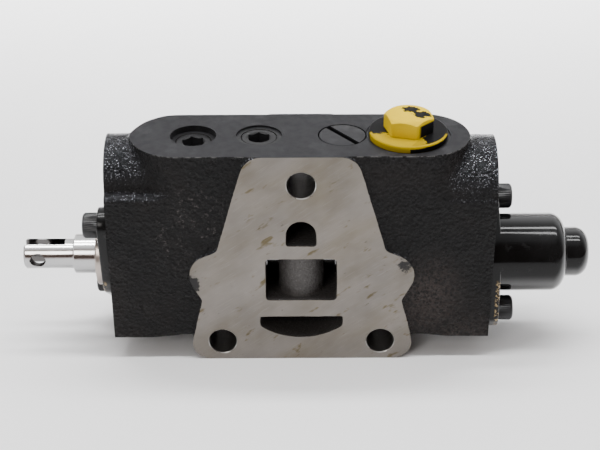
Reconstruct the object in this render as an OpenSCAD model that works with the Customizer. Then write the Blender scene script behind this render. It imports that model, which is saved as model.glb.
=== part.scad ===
// Hydraulic directional valve: one spool in a one-piece iron casting, flanged at the front by three bolts.
// Millimetres, +X along the spool towards its spring cap, +Y from the mounting face into the casting, +Z up.
// The origin is on the mounting face, midway between the two lower bolt holes.
// Every *_h value is a height above the foot of the mounting pad, and z() turns it into a Z.

/* [Casting] */
// Length of the casting between its two end faces
body_l = 150; // [146:1:190]
// Thickness of the casting from the mounting face to the back
body_t = 38; // [37:1:46]
// Height of the machined top
top_h = 91.2; // [90.4:0.2:100]
// Step from the machined mounting face back to the cast front
cast_step = 0.8; // [0.4:0.1:1.4]
// Height of the underside of the two wings
wing_low_h = 9.5; // [8:0.5:12]
// Height of the ledge along the left wing
wing_top_h = 73.5; // [70:0.5:76]
// Distance from each end face to the end of the raised top pad
top_pad_inset = 10; // [6:1:12]
// Height of the raised top pad's sides
top_pad_t = 24; // [20:1:30]
// Radius of the left end boss
left_boss_r = 15.5; // [14:0.5:16]
// Height of the left end boss's axis
left_boss_h = 75; // [74:0.5:75]
// Radius of the right end boss
right_boss_r = 18; // [16:0.5:18]
// Height of the right end boss's axis
right_boss_h = 71; // [70:0.5:72]

/* [Mounting pad] */
// Half width of the pad at its top corners
pad_top_w = 21; // [19:0.2:24]
// Radius of the pad's top corners
pad_top_r = 8.5; // [2:0.5:9]
// Half width of the pad at its waist, above the ears
waist_w = 32.8; // [30:0.2:36]
// Height of the waist
waist_h = 50.3; // [48:0.1:54]
// Radius in the corner of the waist
waist_r = 3.5; // [1:0.5:4]
// Half width at the corner that each ear is rounded from
ear_w = 47.6; // [47:0.2:52]
// Height of the corner that each ear is rounded from
ear_h = 43.6; // [42:0.1:46]
// Radius of the ears
ear_r = 9.5; // [6:0.5:11]
// Half width of the pad at the notch below each ear
notch_w = 39.2; // [38:0.2:41]
// Height of the notch
notch_h = 27.8; // [26:0.2:30]
// Radius in the corner of the notch
notch_r = 2.5; // [1:0.5:3]
// Half width at the corner that each foot corner is rounded from
foot_w = 46.1; // [45:0.1:49]
// Radius of the foot corners
foot_r = 7.5; // [3:0.5:8]
// Diameter of the three mounting bolt holes
bolt_hole_d = 11; // [8.4:0.1:11.5]
// Distance between the two lower bolt holes
bolt_spacing = 63.2; // [60:0.2:66]
// Height of the two lower bolt holes
bolt_low_h = 8.4; // [8:0.1:9]
// Height of the upper bolt hole
bolt_top_h = 79.2; // [78.6:0.1:82]

/* [Galleries in the mounting face] */
// Width of the middle window
window_w = 28; // [26:0.5:29]
// Height of the window's lower edge
window_low_h = 27.9; // [27:0.1:29]
// Height of the window's upper edge
window_top_h = 46.9; // [46.8:0.1:48.5]
// Radius of the upright web that the spool bore passes through
web_r = 9; // [8:0.5:9.5]
// Distance from the mounting face back to the web
web_set = 3; // [2:0.5:5]
// Width of the upper port
upper_port_w = 11.8; // [8:0.2:12]
// Height of the upper port's flat lower edge
upper_port_low_h = 52.7; // [52:0.1:53.5]
// Height of the crescent port's flat upper edge
crescent_top_h = 20.3; // [19.6:0.1:20.8]
// Width of the crescent port
crescent_w = 33; // [28:0.5:36]
// Depth of the crescent port at its ends
crescent_end = 4.3; // [3:0.1:5]
// Depth of the crescent port at its middle
crescent_mid = 10; // [8:0.1:10.5]
// Iron left between the back of each gallery and the back of the casting
back_wall = 7; // [5:0.5:8]

/* [Spool] */
// Diameter of the spool and of its bore, before the running gap
spool_d = 16; // [14:0.2:19.2]
// Height of the spool's axis
spool_h = 38.6; // [38:0.1:39.2]
// Radial gap between the spool and the bore
run_gap = 0.05; // [0.02:0.01:0.1]
// Travel of the spool each way from its centred position
stroke = 6; // [4:0.5:6]
// Diameter of the spool's necks
neck_d = 10.4; // [8:0.2:11]
// Overlap of a land on the edge of its chamber when centred
land_lap = 2; // [1:0.25:2.5]
// Width of the ring chambers round the bore
chamber_w = 7; // [5:0.5:7.5]
// Depth of the ring chambers beyond the bore
chamber_depth = 3; // [2:0.25:3]
// Distance from the middle of the bore to the feed chambers
feed_x = 25; // [24:0.5:26]
// Length of the full diameter past the seal retainer
collar_proud = 9.4; // [8:0.2:14]
// Diameter of the fork end
fork_d = 12; // [10:0.2:13]
// Length of the fork end
fork_l = 20.1; // [18:0.1:26]
// Width of the fork's slot
slot_w = 4.8; // [4.2:0.1:5.4]
// Depth of the fork's slot from its tip
slot_l = 18; // [14:0.5:18.5]
// Radius of the cutter that leaves the slot's round end
cutter_r = 12; // [8:0.5:20]
// Diameter of the fork's cross hole
pin_hole_d = 6; // [5:0.1:6.4]
// Distance from the fork's tip to the cross hole
pin_inset = 5.7; // [5:0.1:7]

/* [Ends] */
// Thickness of both end flanges
flange_t = 3.7; // [3:0.1:5]
// Extra radius of the left flange around the seal retainer's rim
lobe_margin = 2; // [1.6:0.1:3]
// Radius of the ears on both end flanges
lug_r = 7.25; // [6.5:0.25:7.5]
// Pitch circle of the end screws about the spool
screw_pcd = 45; // [44:0.5:46]
// Angle of the end screws away from upright
screw_lean = 30; // [26:1:34]
// Diameter of the end screws
screw_d = 6; // [5:1:6]
// Diameter of the end screws' heads
head_d = 10; // [8.5:0.5:10]
// Height of the end screws' heads
head_l = 6; // [5:0.5:6]
// Length of the end screws in the casting
screw_bite = 12; // [8:1:14]
// Width across the flats of the end screws' sockets
screw_socket = 5; // [4:0.5:5]
// Radial thickness of the two spool seals
seal_w = 3; // [2.5:0.5:3.5]
// Length of the two spool seals
seal_l = 4.6; // [3:0.2:5]
// Distance that the seal retainer stands proud of its flange
retainer_proud = 2.8; // [2:0.2:4]
// Wall of the seal retainer round its wiper
retainer_wall = 2; // [1.5:0.25:2.5]
// Outer diameter of the spring cap
cap_d = 31.4; // [31:0.2:36]
// Length of the spring cap's wide part
cap_l = 30.1; // [29:0.1:40]
// Outer diameter of the spring cap's nose
nose_d = 19.9; // [19:0.1:21]
// Length of the spring cap's nose
nose_l = 9.8; // [9:0.1:16]
// Radius round the end of the spring cap's wide part
cap_round = 5.5; // [3:0.5:5.5]
// Radius round the end of the nose
nose_round = 5; // [3:0.5:6]
// Wall of the spring cap
cap_wall = 2; // [1.5:0.1:2.2]
// Wire diameter of the centring spring
centring_wire = 2.2; // [1.6:0.1:2.4]

/* [Plugs] */
// Distance from the raised top pad's end to the work ports
port_inset = 23.7; // [22:0.1:24]
// Distance from the middle to the gallery plug and to the check plug
inner_plug_x = 16; // [16:0.1:17]
// Diameter of the hex-socket plugs
plug_d = 14; // [12:0.2:14.4]
// Length of the hex-socket plugs
plug_l = 9; // [8:0.2:9.2]
// Width across the flats of the plugs' sockets
plug_socket = 8; // [6:0.5:8]
// Diameter of the recess round each hex-socket plug
recess_d = 17.7; // [16.5:0.1:18.5]
// Depth of the recess at the left work port
port_recess = 2.5; // [1:0.1:2.8]
// Depth of the recess at the gallery plug
gallery_recess = 0.8; // [0.4:0.1:2]
// Thickness of the copper washer under each hex-socket plug
washer_t = 1.5; // [1:0.1:1.6]
// Diameter of the slotted check plug's head
check_head_d = 18.5; // [18:0.1:18.9]
// Thickness of the slotted check plug's head
check_head_t = 3; // [2:0.2:3.4]
// Width of the slot across the check plug
check_slot_w = 2.2; // [1.6:0.1:3]
// Angle of the slot from the spool's direction
check_slot_turn = -53; // [-90:1:90]
// Diameter of the transport plug's threaded shank
port_thread_d = 20.9; // [18:0.1:20.9]
// Diameter of the machined spotface round the right work port
spotface_d = 32.7; // [32:0.1:34]
// Depth of the spotface
spotface_depth = 0.5; // [0.3:0.1:1]
// Diameter of the transport plug's flange
plug_flange_d = 30.4; // [28:0.2:31.6]
// Thickness of the transport plug's flange
plug_flange_t = 2.8; // [2:0.2:4]
// Width across the flats of the transport plug's head
plug_hex = 17; // [14:0.5:19]
// Height of the transport plug's head
plug_hex_l = 6.6; // [5:0.2:10]
// Turn of the transport plug's head about its own axis
plug_hex_turn = -15.5; // [-30:0.5:30]

/* [Hidden] */

$fn = 64;
arc_steps = 10;           // straight pieces in each rounded corner of an outline
past = 1;                 // how far a cut runs past the face it opens
fit_gap = 0.05;           // radial gap of a thread or a seated piece in its hole
clear_gap = 0.3;          // gap of a piece that moves past another

mid_y = body_t / 2;
half_l = body_l / 2;
cast_mid_y = (body_t + cast_step) / 2;
top_pad_r = (body_t - cast_step) / 2;
top_pad_x = half_l - top_pad_inset;
port_x = top_pad_x - port_inset;
tank_land = 9.2;
tank_x = port_x + chamber_w + tank_land;
bore_r = spool_d / 2 + run_gap;
chamber_r = spool_d / 2 + chamber_depth;
gallery_end_y = body_t - back_wall;
window_corner_r = 1.5;
upper_port_side = 5.1;

// Heights inside the casting
feed_core_r = 3.5;
feed_core_h = upper_port_low_h + feed_core_r + 0.8;
seat_h = feed_core_h + 6;
bridge_core_h = seat_h + 4.2;
bridge_core_r = 3;
tank_core_h = crescent_top_h + 0.7;
tank_core_r = 3.2;
port_core_r = 4;
work_core_r = 5.5;
boss_core_r = 3;
boss_plug_recess = 1;

// Check valve
check_thread_r = 8;
check_guide_r = 6.5;
check_hole_r = 4;
check_lift = 3;
check_thread_low_h = seat_h + 16;
check_groove_l = 2;
check_o_ring_r = 0.8;
check_wire = 1.2;
check_coil_r = 3.3;
check_pocket_r = 4.4;
check_pocket_l = 5;
poppet_l = 12.3;
poppet_floor = 5;

// Transport plug
port_hole_depth = 16;
port_thread_l = 12;
plug_bore_r = 7.4;
plug_bore_l = 13;
transport_o_ring_r = 1.1;
o_ring_pocket_r = port_thread_d / 2 + 2 * transport_o_ring_r + 0.3;
o_ring_pocket_l = 2 * transport_o_ring_r + 0.3;

// Ends
lobe_r = spool_d / 2 + 6 + lobe_margin;
retainer_r = spool_d / 2 + 4.5;
retainer_rim_r = retainer_r + 1.4;
retainer_rim_t = 1.2;
retainer_hole_r = bore_r + 0.35;
wiper_pocket_l = flange_t + 0.8;
seal_pocket_r = bore_r + seal_w;
seal_pocket_l = seal_l + 0.4;
cap_hole_r = cap_d / 2 - cap_wall - 0.3;
nose_hole_r = nose_d / 2 - cap_wall - 0.15;
cap_shoulder_r = cap_hole_r - 1.5;
cap_shoulder_l = cap_l - cap_wall - cap_round + 1;
cap_mouth_r = cap_hole_r + 1.5;
cap_mouth_l = 1.6;
head_edge = 0.6;
cap_o_ring_r = 0.7;
seal_washer_t = 1.2;

// Spool
shoulder_x = -(half_l + flange_t + retainer_proud + collar_proud);
fork_tip_x = shoulder_x - fork_l;
pin_x = fork_tip_x + pin_inset;
spool_end_x = half_l + seal_washer_t + stroke + clear_gap;
pack_end_x = half_l + cap_l - cap_wall - stroke - clear_gap;
seat_t = 1.8;
seat_hub_l = 2.4;
seat_hub_r = 6;
seat_flange_r = cap_shoulder_r - clear_gap;
end_screw_r = 4;
end_thread_r = 3;
end_thread_l = 13;
end_head_r = 6.5;
end_head_l = 5;

function z(h) = h - bolt_low_h;
function unit(v) = v / norm(v);
function swing(a) = a > 180 ? a - 360 : a < -180 ? a + 360 : a;

// The arc of radius r that rounds the corner b of the path a, b, c
function rounded(a, b, c, r) =
    let (u = unit(a - b), v = unit(c - b), half = acos(u * v) / 2,
         centre = b + unit(u + v) * r / sin(half),
         p = b + u * r / tan(half) - centre,
         q = b + v * r / tan(half) - centre,
         start = atan2(p.y, p.x), sweep = swing(atan2(q.y, q.x) - start))
    [for (i = [0:arc_steps])
        let (turn = start + sweep * i / arc_steps) centre + r * [cos(turn), sin(turn)]];

// A closed outline from corners given as [x, y, radius]
function outline(corners) =
    let (n = len(corners), at = [for (k = corners) [k.x, k.y]])
    [for (i = [0:n - 1]) each rounded(at[(i + n - 1) % n], at[i], at[(i + 1) % n], corners[i].z)];

// A quarter arc from straight out to straight up
function quarter(centre, r) =
    [for (i = [0:arc_steps]) centre + r * [cos(90 * i / arc_steps), sin(90 * i / arc_steps)]];

// Points along a helix that stands on Z = 0, with its wire inside the length l
function coil_point(t, r, l, wire_d, turns) =
    [r * cos(360 * turns * t), r * sin(360 * turns * t), wire_d / 2 + (l - wire_d) * t];

pad_side = [
    [pad_top_w, z(top_h), pad_top_r],
    [waist_w, z(waist_h), waist_r],
    [ear_w, z(ear_h), ear_r],
    [notch_w, z(notch_h), notch_r],
    [foot_w, z(0), foot_r]
];
pad_corners = concat(
    pad_side,
    [for (i = [len(pad_side) - 1:-1:0]) [-pad_side[i].x, pad_side[i].y, pad_side[i].z]]
);

// A flat shape drawn in X and Z, made solid from y0 back to y1
module front_solid(y0, y1) {
    translate([0, y1, 0]) rotate([90, 0, 0]) linear_extrude(y1 - y0) children();
}

module rod_x(x0, x1, r, y = mid_y, h = spool_h) {
    translate([x0, y, z(h)]) rotate([0, 90, 0]) cylinder(r = r, h = x1 - x0);
}

module rod_y(x, h, r, y0, y1) {
    translate([x, y0, z(h)]) rotate([-90, 0, 0]) cylinder(r = r, h = y1 - y0);
}

module rod_z(x, r, h0, h1, y = mid_y) {
    translate([x, y, z(h0)]) cylinder(r = r, h = h1 - h0);
}

// Children drawn along +Z are laid along the spool, starting at x and pointing along side (1 or -1)
module on_spool_axis(x, side = 1) {
    translate([x, mid_y, z(spool_h)]) rotate([0, side * 90, 0]) children();
}

module ring(r_in, r_out, l) {
    rotate_extrude() translate([r_in, 0]) square([r_out - r_in, l]);
}

module o_ring(r_mid, r_wire) {
    rotate_extrude() translate([r_mid, 0]) circle(r = r_wire, $fn = 24);
}

module hex(across, l, turn = 0) {
    rotate([0, 0, turn]) cylinder(d = across / cos(30), h = l, $fn = 6);
}

// A coil spring of length l that stands on Z = 0
module coil(r, l, wire_d, turns) {
    sides = 8;
    steps = ceil(turns * 18);
    step_turn = 360 * turns / steps;
    points = [for (i = [0:steps], k = [0:sides - 1])
        let (c = coil_point(i / steps, r, l, wire_d, turns), a = step_turn * i, b = 360 * k / sides)
        c + wire_d / 2 * [cos(b) * cos(a), cos(b) * sin(a), sin(b)]];
    walls = [for (i = [0:steps - 1], k = [0:sides - 1])
        let (a = i * sides + k, b = i * sides + (k + 1) % sides)
        each [[a, b, b + sides], [a, b + sides, a + sides]]];
    first = [[for (k = [sides - 1:-1:0]) k]];
    last = [[for (k = [0:sides - 1]) steps * sides + k]];
    polyhedron(points = points, faces = concat(walls, first, last));
}

// The two screw places of an end, as [y, height] offsets from the spool; lean is 1 or -1
function screw_spots(lean) =
    [for (s = [1, -1]) s * screw_pcd / 2 * [lean * sin(screw_lean), cos(screw_lean)]];

// A lobe round the spool with two lugs, as an outline in the end's own plane: x across, y up
module end_outline(lean, r) {
    d = screw_pcd / 2;
    spread = acos((r - lug_r) / d);
    for (spot = screw_spots(lean)) {
        dir = atan2(spot.y, spot.x);
        polygon([
            [0, 0],
            r * [cos(dir - spread), sin(dir - spread)],
            for (i = [0:2 * arc_steps])
                let (a = dir - spread + 2 * spread * i / (2 * arc_steps)) spot + lug_r * [cos(a), sin(a)],
            r * [cos(dir + spread), sin(dir + spread)]
        ]);
    }
    circle(r = r);
}

// An end outline as a plate of thickness t on the end face at x, reaching outwards
module end_plate(side, lean, r, t) {
    translate([side > 0 ? half_l : -half_l - t, mid_y, z(spool_h)])
        rotate([90, 0, 90]) linear_extrude(t) end_outline(lean, r);
}

module screw_holes(side, lean, r, x0, x1) {
    for (spot = screw_spots(lean))
        rod_x(min(side * x0, side * x1), max(side * x0, side * x1), r, mid_y + spot.x, spool_h + spot.y);
}

module cap_screws(side, lean) {
    shank_l = flange_t + screw_bite;
    for (spot = screw_spots(lean))
        translate([side * (half_l + flange_t), mid_y + spot.x, z(spool_h + spot.y)]) rotate([0, side * 90, 0])
            difference() {
                union() {
                    rotate_extrude() polygon([
                        [0, 0], [head_d / 2, 0], [head_d / 2, head_l - head_edge],
                        [head_d / 2 - head_edge, head_l], [0, head_l]
                    ]);
                    translate([0, 0, -shank_l]) cylinder(d = screw_d, h = shank_l + past);
                }
                translate([0, 0, head_l / 2]) hex(screw_socket, head_l);
            }
}

// A hex-socket plug whose top face is at Z = 0
module socket_plug() {
    edge = 0.5;
    difference() {
        rotate_extrude() polygon([
            [0, -plug_l], [plug_d / 2 - edge, -plug_l], [plug_d / 2, -plug_l + edge],
            [plug_d / 2, -edge], [plug_d / 2 - edge, 0], [0, 0]
        ]);
        translate([0, 0, -plug_l / 2]) hex(plug_socket, plug_l);
    }
}

module plug_washer() {
    translate([0, 0, -plug_l - washer_t]) ring(port_core_r + 0.3, plug_d / 2 - 0.1, washer_t);
}

// The recess, threaded hole and core below a hex-socket plug whose top face is at Z = 0
module plug_hole(recess, core_r, core_l) {
    cylinder(d = recess_d, h = recess + past);
    translate([0, 0, -plug_l - washer_t]) cylinder(r = plug_d / 2 + fit_gap, h = plug_l + washer_t + past);
    translate([0, 0, -plug_l - washer_t - core_l]) cylinder(r = core_r, h = core_l + past);
}

module at_left_port() { translate([-port_x, mid_y, z(top_h - port_recess)]) children(); }

module at_gallery_plug() { translate([-inner_plug_x, mid_y, z(top_h - gallery_recess)]) children(); }

module at_boss(side, h) {
    translate([side * (half_l - boss_plug_recess), mid_y, z(h)]) rotate([0, side * 90, 0]) children();
}

module cast_shape() {
    front_solid(0, body_t) polygon(outline(pad_corners));
    translate([-half_l, cast_step, z(wing_low_h)])
        cube([half_l, body_t - cast_step, wing_top_h - wing_low_h]);
    translate([0, cast_step, z(wing_low_h)])
        cube([half_l, body_t - cast_step, right_boss_h - wing_low_h]);
    translate([0, cast_mid_y, z(top_h - top_pad_t)]) linear_extrude(top_pad_t) {
        polygon([
            for (i = [0:24]) [top_pad_x - top_pad_r, 0] + top_pad_r * [cos(i * 7.5 - 90), sin(i * 7.5 - 90)],
            for (i = [0:24]) [top_pad_r - top_pad_x, 0] + top_pad_r * [cos(i * 7.5 + 90), sin(i * 7.5 + 90)]
        ]);
    }
    rod_x(-half_l, -top_pad_x + top_pad_r, left_boss_r, cast_mid_y, left_boss_h);
    rod_x(top_pad_x - top_pad_r, half_l, right_boss_r, cast_mid_y, right_boss_h);
}

module bolt_holes() {
    for (side = [-1, 1]) rod_y(side * bolt_spacing / 2, bolt_low_h, bolt_hole_d / 2, -past, body_t + past);
    rod_y(0, bolt_top_h, bolt_hole_d / 2, -past, body_t + past);
}

module upper_port() {
    r = upper_port_w / 2;
    low = z(upper_port_low_h);
    front_solid(-past, gallery_end_y) intersection() {
        union() {
            translate([0, low + upper_port_side]) circle(r = r);
            translate([-r, low]) square([2 * r, upper_port_side]);
        }
        translate([-r, low]) square([2 * r, upper_port_side + r]);
    }
}

module window() {
    r = window_corner_r;
    w = window_w / 2;
    difference() {
        front_solid(-past, gallery_end_y) polygon(outline([
            [w, z(window_top_h), r], [w, z(window_low_h), r],
            [-w, z(window_low_h), r], [-w, z(window_top_h), r]
        ]));
        rod_z(0, web_r, window_low_h - past, window_top_h + past, web_set + web_r);
        translate([-web_r, web_set + web_r, z(window_low_h) - past])
            cube([2 * web_r, body_t, window_top_h - window_low_h + 2 * past]);
    }
}

module crescent_port() {
    w = crescent_w / 2;
    sag = crescent_mid - crescent_end;
    r = (w * w + sag * sag) / (2 * sag);
    half_turn = asin(w / r);
    top = z(crescent_top_h);
    front_solid(-past, gallery_end_y) polygon([
        [-w, top], [w, top],
        for (i = [0:2 * arc_steps])
            let (a = half_turn * (1 - i / arc_steps) - 90) [r * cos(a), top - crescent_mid + r + r * sin(a)]
    ]);
}

module spool_bore() {
    rod_x(-half_l - past, half_l + past, bore_r);
    screw_hole_l = screw_bite + 1.5;
    for (side = [-1, 1]) {
        for (x = [feed_x, port_x, tank_x])
            rod_x(side * x - chamber_w / 2, side * x + chamber_w / 2, chamber_r);
        on_spool_axis(side * (half_l - seal_pocket_l), side)
            cylinder(r = seal_pocket_r, h = seal_pocket_l + past);
        screw_holes(side, side, screw_d / 2 + fit_gap, half_l - screw_hole_l, half_l + past);
    }
}

module check_hole() {
    rod_z(inner_plug_x, check_head_d / 2 + 0.15, top_h - check_head_t, top_h + past);
    rod_z(inner_plug_x, check_thread_r + fit_gap, check_thread_low_h, top_h);
    rod_z(inner_plug_x, check_guide_r + run_gap, seat_h, top_h - check_head_t);
    rod_z(inner_plug_x, check_hole_r, feed_core_h, seat_h + past);
}

module right_port_hole() {
    floor_h = top_h - spotface_depth;
    rod_z(port_x, spotface_d / 2, floor_h, top_h + past);
    rod_z(port_x, port_thread_d / 2 + fit_gap, top_h - port_hole_depth, top_h);
    rod_z(port_x, o_ring_pocket_r, floor_h - o_ring_pocket_l, top_h);
    rod_z(port_x, work_core_r, spool_h, top_h - port_hole_depth + past);
}

module cores() {
    rod_x(0, inner_plug_x, feed_core_r, mid_y, feed_core_h);
    rod_x(-feed_x, feed_x, bridge_core_r, mid_y, bridge_core_h);
    for (side = [-1, 1]) {
        rod_z(side * feed_x, bridge_core_r, spool_h, bridge_core_h);
        rod_z(side * tank_x, tank_core_r, tank_core_h, spool_h);
    }
    rod_x(-tank_x, tank_x, tank_core_r, mid_y, tank_core_h);
}

module valve_body() {
    color([0.17, 0.17, 0.18]) difference() {
        cast_shape();
        bolt_holes();
        upper_port();
        window();
        crescent_port();
        spool_bore();
        check_hole();
        right_port_hole();
        cores();
        at_left_port() plug_hole(port_recess, port_core_r, top_h - port_recess - plug_l - washer_t - spool_h);
        at_gallery_plug() plug_hole(
            gallery_recess, port_core_r, top_h - gallery_recess - plug_l - washer_t - bridge_core_h
        );
        at_boss(-1, left_boss_h) plug_hole(
            boss_plug_recess, boss_core_r, half_l - boss_plug_recess - plug_l - washer_t - port_x
        );
        at_boss(1, right_boss_h) plug_hole(
            boss_plug_recess, boss_core_r, half_l - boss_plug_recess - plug_l - washer_t - port_x
        );
    }
}

// One neck of the spool, as a ring cut from x0 to x1
module neck(x0, x1) {
    on_spool_axis(x0) ring(neck_d / 2, spool_d, x1 - x0);
}

// Small half-round notches that meter the oil, in the edge of a land at x and reaching l along it
module metering_notches(x, l) {
    notch_r = 1.2;
    for (a = [45:90:315])
        translate([min(x, x + l), mid_y + spool_d / 2 * cos(a), z(spool_h) + spool_d / 2 * sin(a)])
            rotate([0, 90, 0]) cylinder(r = notch_r, h = abs(l), $fn = 24);
}

module spool() {
    gallery_land = window_w / 2 - 0.5;
    feed_land = feed_x - chamber_w / 2 + 1;
    work_in = port_x - chamber_w / 2 - land_lap;
    work_out = port_x + chamber_w / 2 + land_lap;
    tank_out = tank_x + chamber_w / 2;
    notch_l = land_lap + 1;
    edge = 0.8;
    color([0.78, 0.78, 0.8]) difference() {
        union() {
            rod_x(shoulder_x, spool_end_x, spool_d / 2);
            on_spool_axis(shoulder_x, -1) rotate_extrude() polygon([
                [0, -past], [fork_d / 2, -past], [fork_d / 2, fork_l - edge],
                [fork_d / 2 - edge, fork_l], [0, fork_l]
            ]);
        }
        for (side = [-1, 1]) {
            neck(min(side * (web_r - 2), side * gallery_land), max(side * (web_r - 2), side * gallery_land));
            neck(min(side * feed_land, side * work_in), max(side * feed_land, side * work_in));
            neck(min(side * work_out, side * tank_out), max(side * work_out, side * tank_out));
            metering_notches(side * work_in, side * notch_l);
            metering_notches(side * work_out, -side * notch_l);
        }
        translate([fork_tip_x + slot_l - cutter_r, mid_y, z(spool_h)]) rotate([-90, 0, 0])
            cylinder(r = cutter_r, h = slot_w, center = true);
        translate([fork_tip_x - past, mid_y - slot_w / 2, z(spool_h) - fork_d])
            cube([slot_l - cutter_r + past, slot_w, 2 * fork_d]);
        rod_y(pin_x, spool_h, pin_hole_d / 2, mid_y - fork_d, mid_y + fork_d);
        rod_x(spool_end_x - end_thread_l - 2, spool_end_x + past, end_thread_r + fit_gap);
    }
}

module spool_end_screw() {
    color([0.3, 0.3, 0.32]) difference() {
        union() {
            rod_x(spool_end_x - end_thread_l, spool_end_x + 1, end_thread_r);
            rod_x(spool_end_x, pack_end_x, end_screw_r);
            rod_x(pack_end_x, pack_end_x + end_head_l, end_head_r);
        }
        on_spool_axis(pack_end_x + end_head_l / 2) hex(screw_socket, end_head_l);
    }
}

// A flanged spring seat on the end screw, whose flange is on the side that it starts from
module spring_seat(x, side) {
    color([0.6, 0.6, 0.62]) on_spool_axis(x, side) {
        ring(end_screw_r + fit_gap, seat_hub_r, seat_t + seat_hub_l);
        ring(seat_hub_r - 0.5, seat_flange_r, seat_t);
    }
}

module inner_spring_seat() { spring_seat(spool_end_x, 1); }

module outer_spring_seat() { spring_seat(pack_end_x, -1); }

module centring_spring() {
    color([0.5, 0.5, 0.52]) on_spool_axis(spool_end_x + seat_t)
        coil(seat_flange_r - centring_wire, pack_end_x - spool_end_x - 2 * seat_t, centring_wire, 3);
}

module spool_seal(side) {
    color([0.1, 0.1, 0.1]) on_spool_axis(side * (half_l - seal_pocket_l), side)
        ring(bore_r, seal_pocket_r - fit_gap, seal_l);
}

module left_spool_seal() { spool_seal(-1); }

module right_spool_seal() { spool_seal(1); }

module right_seal_washer() {
    color([0.6, 0.6, 0.62]) on_spool_axis(half_l) ring(bore_r + clear_gap, cap_hole_r - 0.2, seal_washer_t);
}

module wiper_ring() {
    color([0.12, 0.12, 0.12]) on_spool_axis(-half_l - retainer_rim_t, -1)
        ring(bore_r, retainer_r - retainer_wall - fit_gap, wiper_pocket_l - retainer_rim_t);
}

module seal_retainer() {
    l = flange_t + retainer_proud;
    edge = 0.6;
    color([0.72, 0.72, 0.74]) on_spool_axis(-half_l, -1) difference() {
        rotate_extrude() polygon([
            [retainer_hole_r, 0], [retainer_rim_r, 0], [retainer_rim_r, retainer_rim_t],
            [retainer_r, retainer_rim_t], [retainer_r, l - edge], [retainer_r - edge, l], [retainer_hole_r, l]
        ]);
        translate([0, 0, -past]) cylinder(r = retainer_r - retainer_wall, h = wiper_pocket_l + past);
    }
}

module left_flange() {
    color([0.16, 0.16, 0.17]) difference() {
        end_plate(-1, -1, lobe_r, flange_t);
        on_spool_axis(-half_l - flange_t - past) {
            cylinder(r = retainer_r + fit_gap, h = flange_t + 2 * past);
            translate([0, 0, flange_t + past - retainer_rim_t])
                cylinder(r = retainer_rim_r + fit_gap, h = retainer_rim_t + past);
        }
        screw_holes(-1, -1, screw_d / 2 + clear_gap, half_l - past, half_l + flange_t + past);
    }
}

module left_flange_screws() { color([0.12, 0.12, 0.12]) cap_screws(-1, -1); }

module spring_cap() {
    r = cap_d / 2;
    cap_end = cap_l + nose_l;
    outer = [
        [0, 0], [r, 0],
        each quarter([r - cap_round, cap_l - cap_round], cap_round),
        [nose_d / 2, cap_l],
        each quarter([nose_d / 2 - nose_round, cap_end - nose_round], nose_round),
        [0, cap_end]
    ];
    color([0.07, 0.07, 0.08]) difference() {
        union() {
            on_spool_axis(half_l) rotate_extrude() polygon(outer);
            end_plate(1, 1, r, flange_t);
        }
        on_spool_axis(half_l - past) {
            cylinder(r = cap_mouth_r, h = cap_mouth_l + past);
            cylinder(r = cap_hole_r, h = cap_shoulder_l + past);
            cylinder(r = cap_shoulder_r, h = cap_l - cap_wall + past);
            cylinder(r = nose_hole_r, h = cap_end - cap_wall + past);
        }
        screw_holes(1, 1, screw_d / 2 + clear_gap, half_l - past, half_l + flange_t + past);
    }
}

module spring_cap_o_ring() {
    color([0.1, 0.1, 0.1]) on_spool_axis(half_l + cap_o_ring_r + fit_gap)
        o_ring(cap_mouth_r - cap_o_ring_r - fit_gap, cap_o_ring_r);
}

module spring_cap_screws() { color([0.12, 0.12, 0.12]) cap_screws(1, 1); }

module port_plug() { color([0.2, 0.2, 0.21]) at_left_port() socket_plug(); }

module port_plug_washer() { color([0.72, 0.45, 0.25]) at_left_port() plug_washer(); }

module gallery_plug() { color([0.2, 0.2, 0.21]) at_gallery_plug() socket_plug(); }

module gallery_plug_washer() { color([0.72, 0.45, 0.25]) at_gallery_plug() plug_washer(); }

module left_boss_plug() { color([0.2, 0.2, 0.21]) at_boss(-1, left_boss_h) socket_plug(); }

module left_boss_washer() { color([0.72, 0.45, 0.25]) at_boss(-1, left_boss_h) plug_washer(); }

module right_boss_plug() { color([0.2, 0.2, 0.21]) at_boss(1, right_boss_h) socket_plug(); }

module right_boss_washer() { color([0.72, 0.45, 0.25]) at_boss(1, right_boss_h) plug_washer(); }

module check_plug() {
    neck_h = top_h - check_head_t;
    groove_r = check_thread_r - 2 * check_o_ring_r - 2 * fit_gap;
    slot_depth = 1.8;
    color([0.2, 0.2, 0.21]) difference() {
        union() {
            rod_z(inner_plug_x, check_head_d / 2, neck_h, top_h);
            rod_z(inner_plug_x, groove_r, neck_h - check_groove_l, neck_h);
            rod_z(inner_plug_x, check_thread_r, check_thread_low_h, neck_h - check_groove_l);
        }
        translate([inner_plug_x, mid_y, z(top_h)]) rotate([0, 0, check_slot_turn])
            cube([check_head_d + 2 * past, check_slot_w, 2 * slot_depth], center = true);
        rod_z(inner_plug_x, check_pocket_r, check_thread_low_h - past, check_thread_low_h + check_pocket_l);
    }
}

module check_plug_o_ring() {
    color([0.1, 0.1, 0.1]) translate([inner_plug_x, mid_y, z(top_h - check_head_t - check_groove_l / 2)])
        o_ring(check_thread_r - check_o_ring_r - fit_gap, check_o_ring_r);
}

module check_spring() {
    base_h = seat_h + poppet_floor;
    color([0.6, 0.6, 0.62]) translate([inner_plug_x, mid_y, z(base_h)])
        coil(check_coil_r, check_thread_low_h + check_pocket_l - base_h, check_wire, 6);
}

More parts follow.
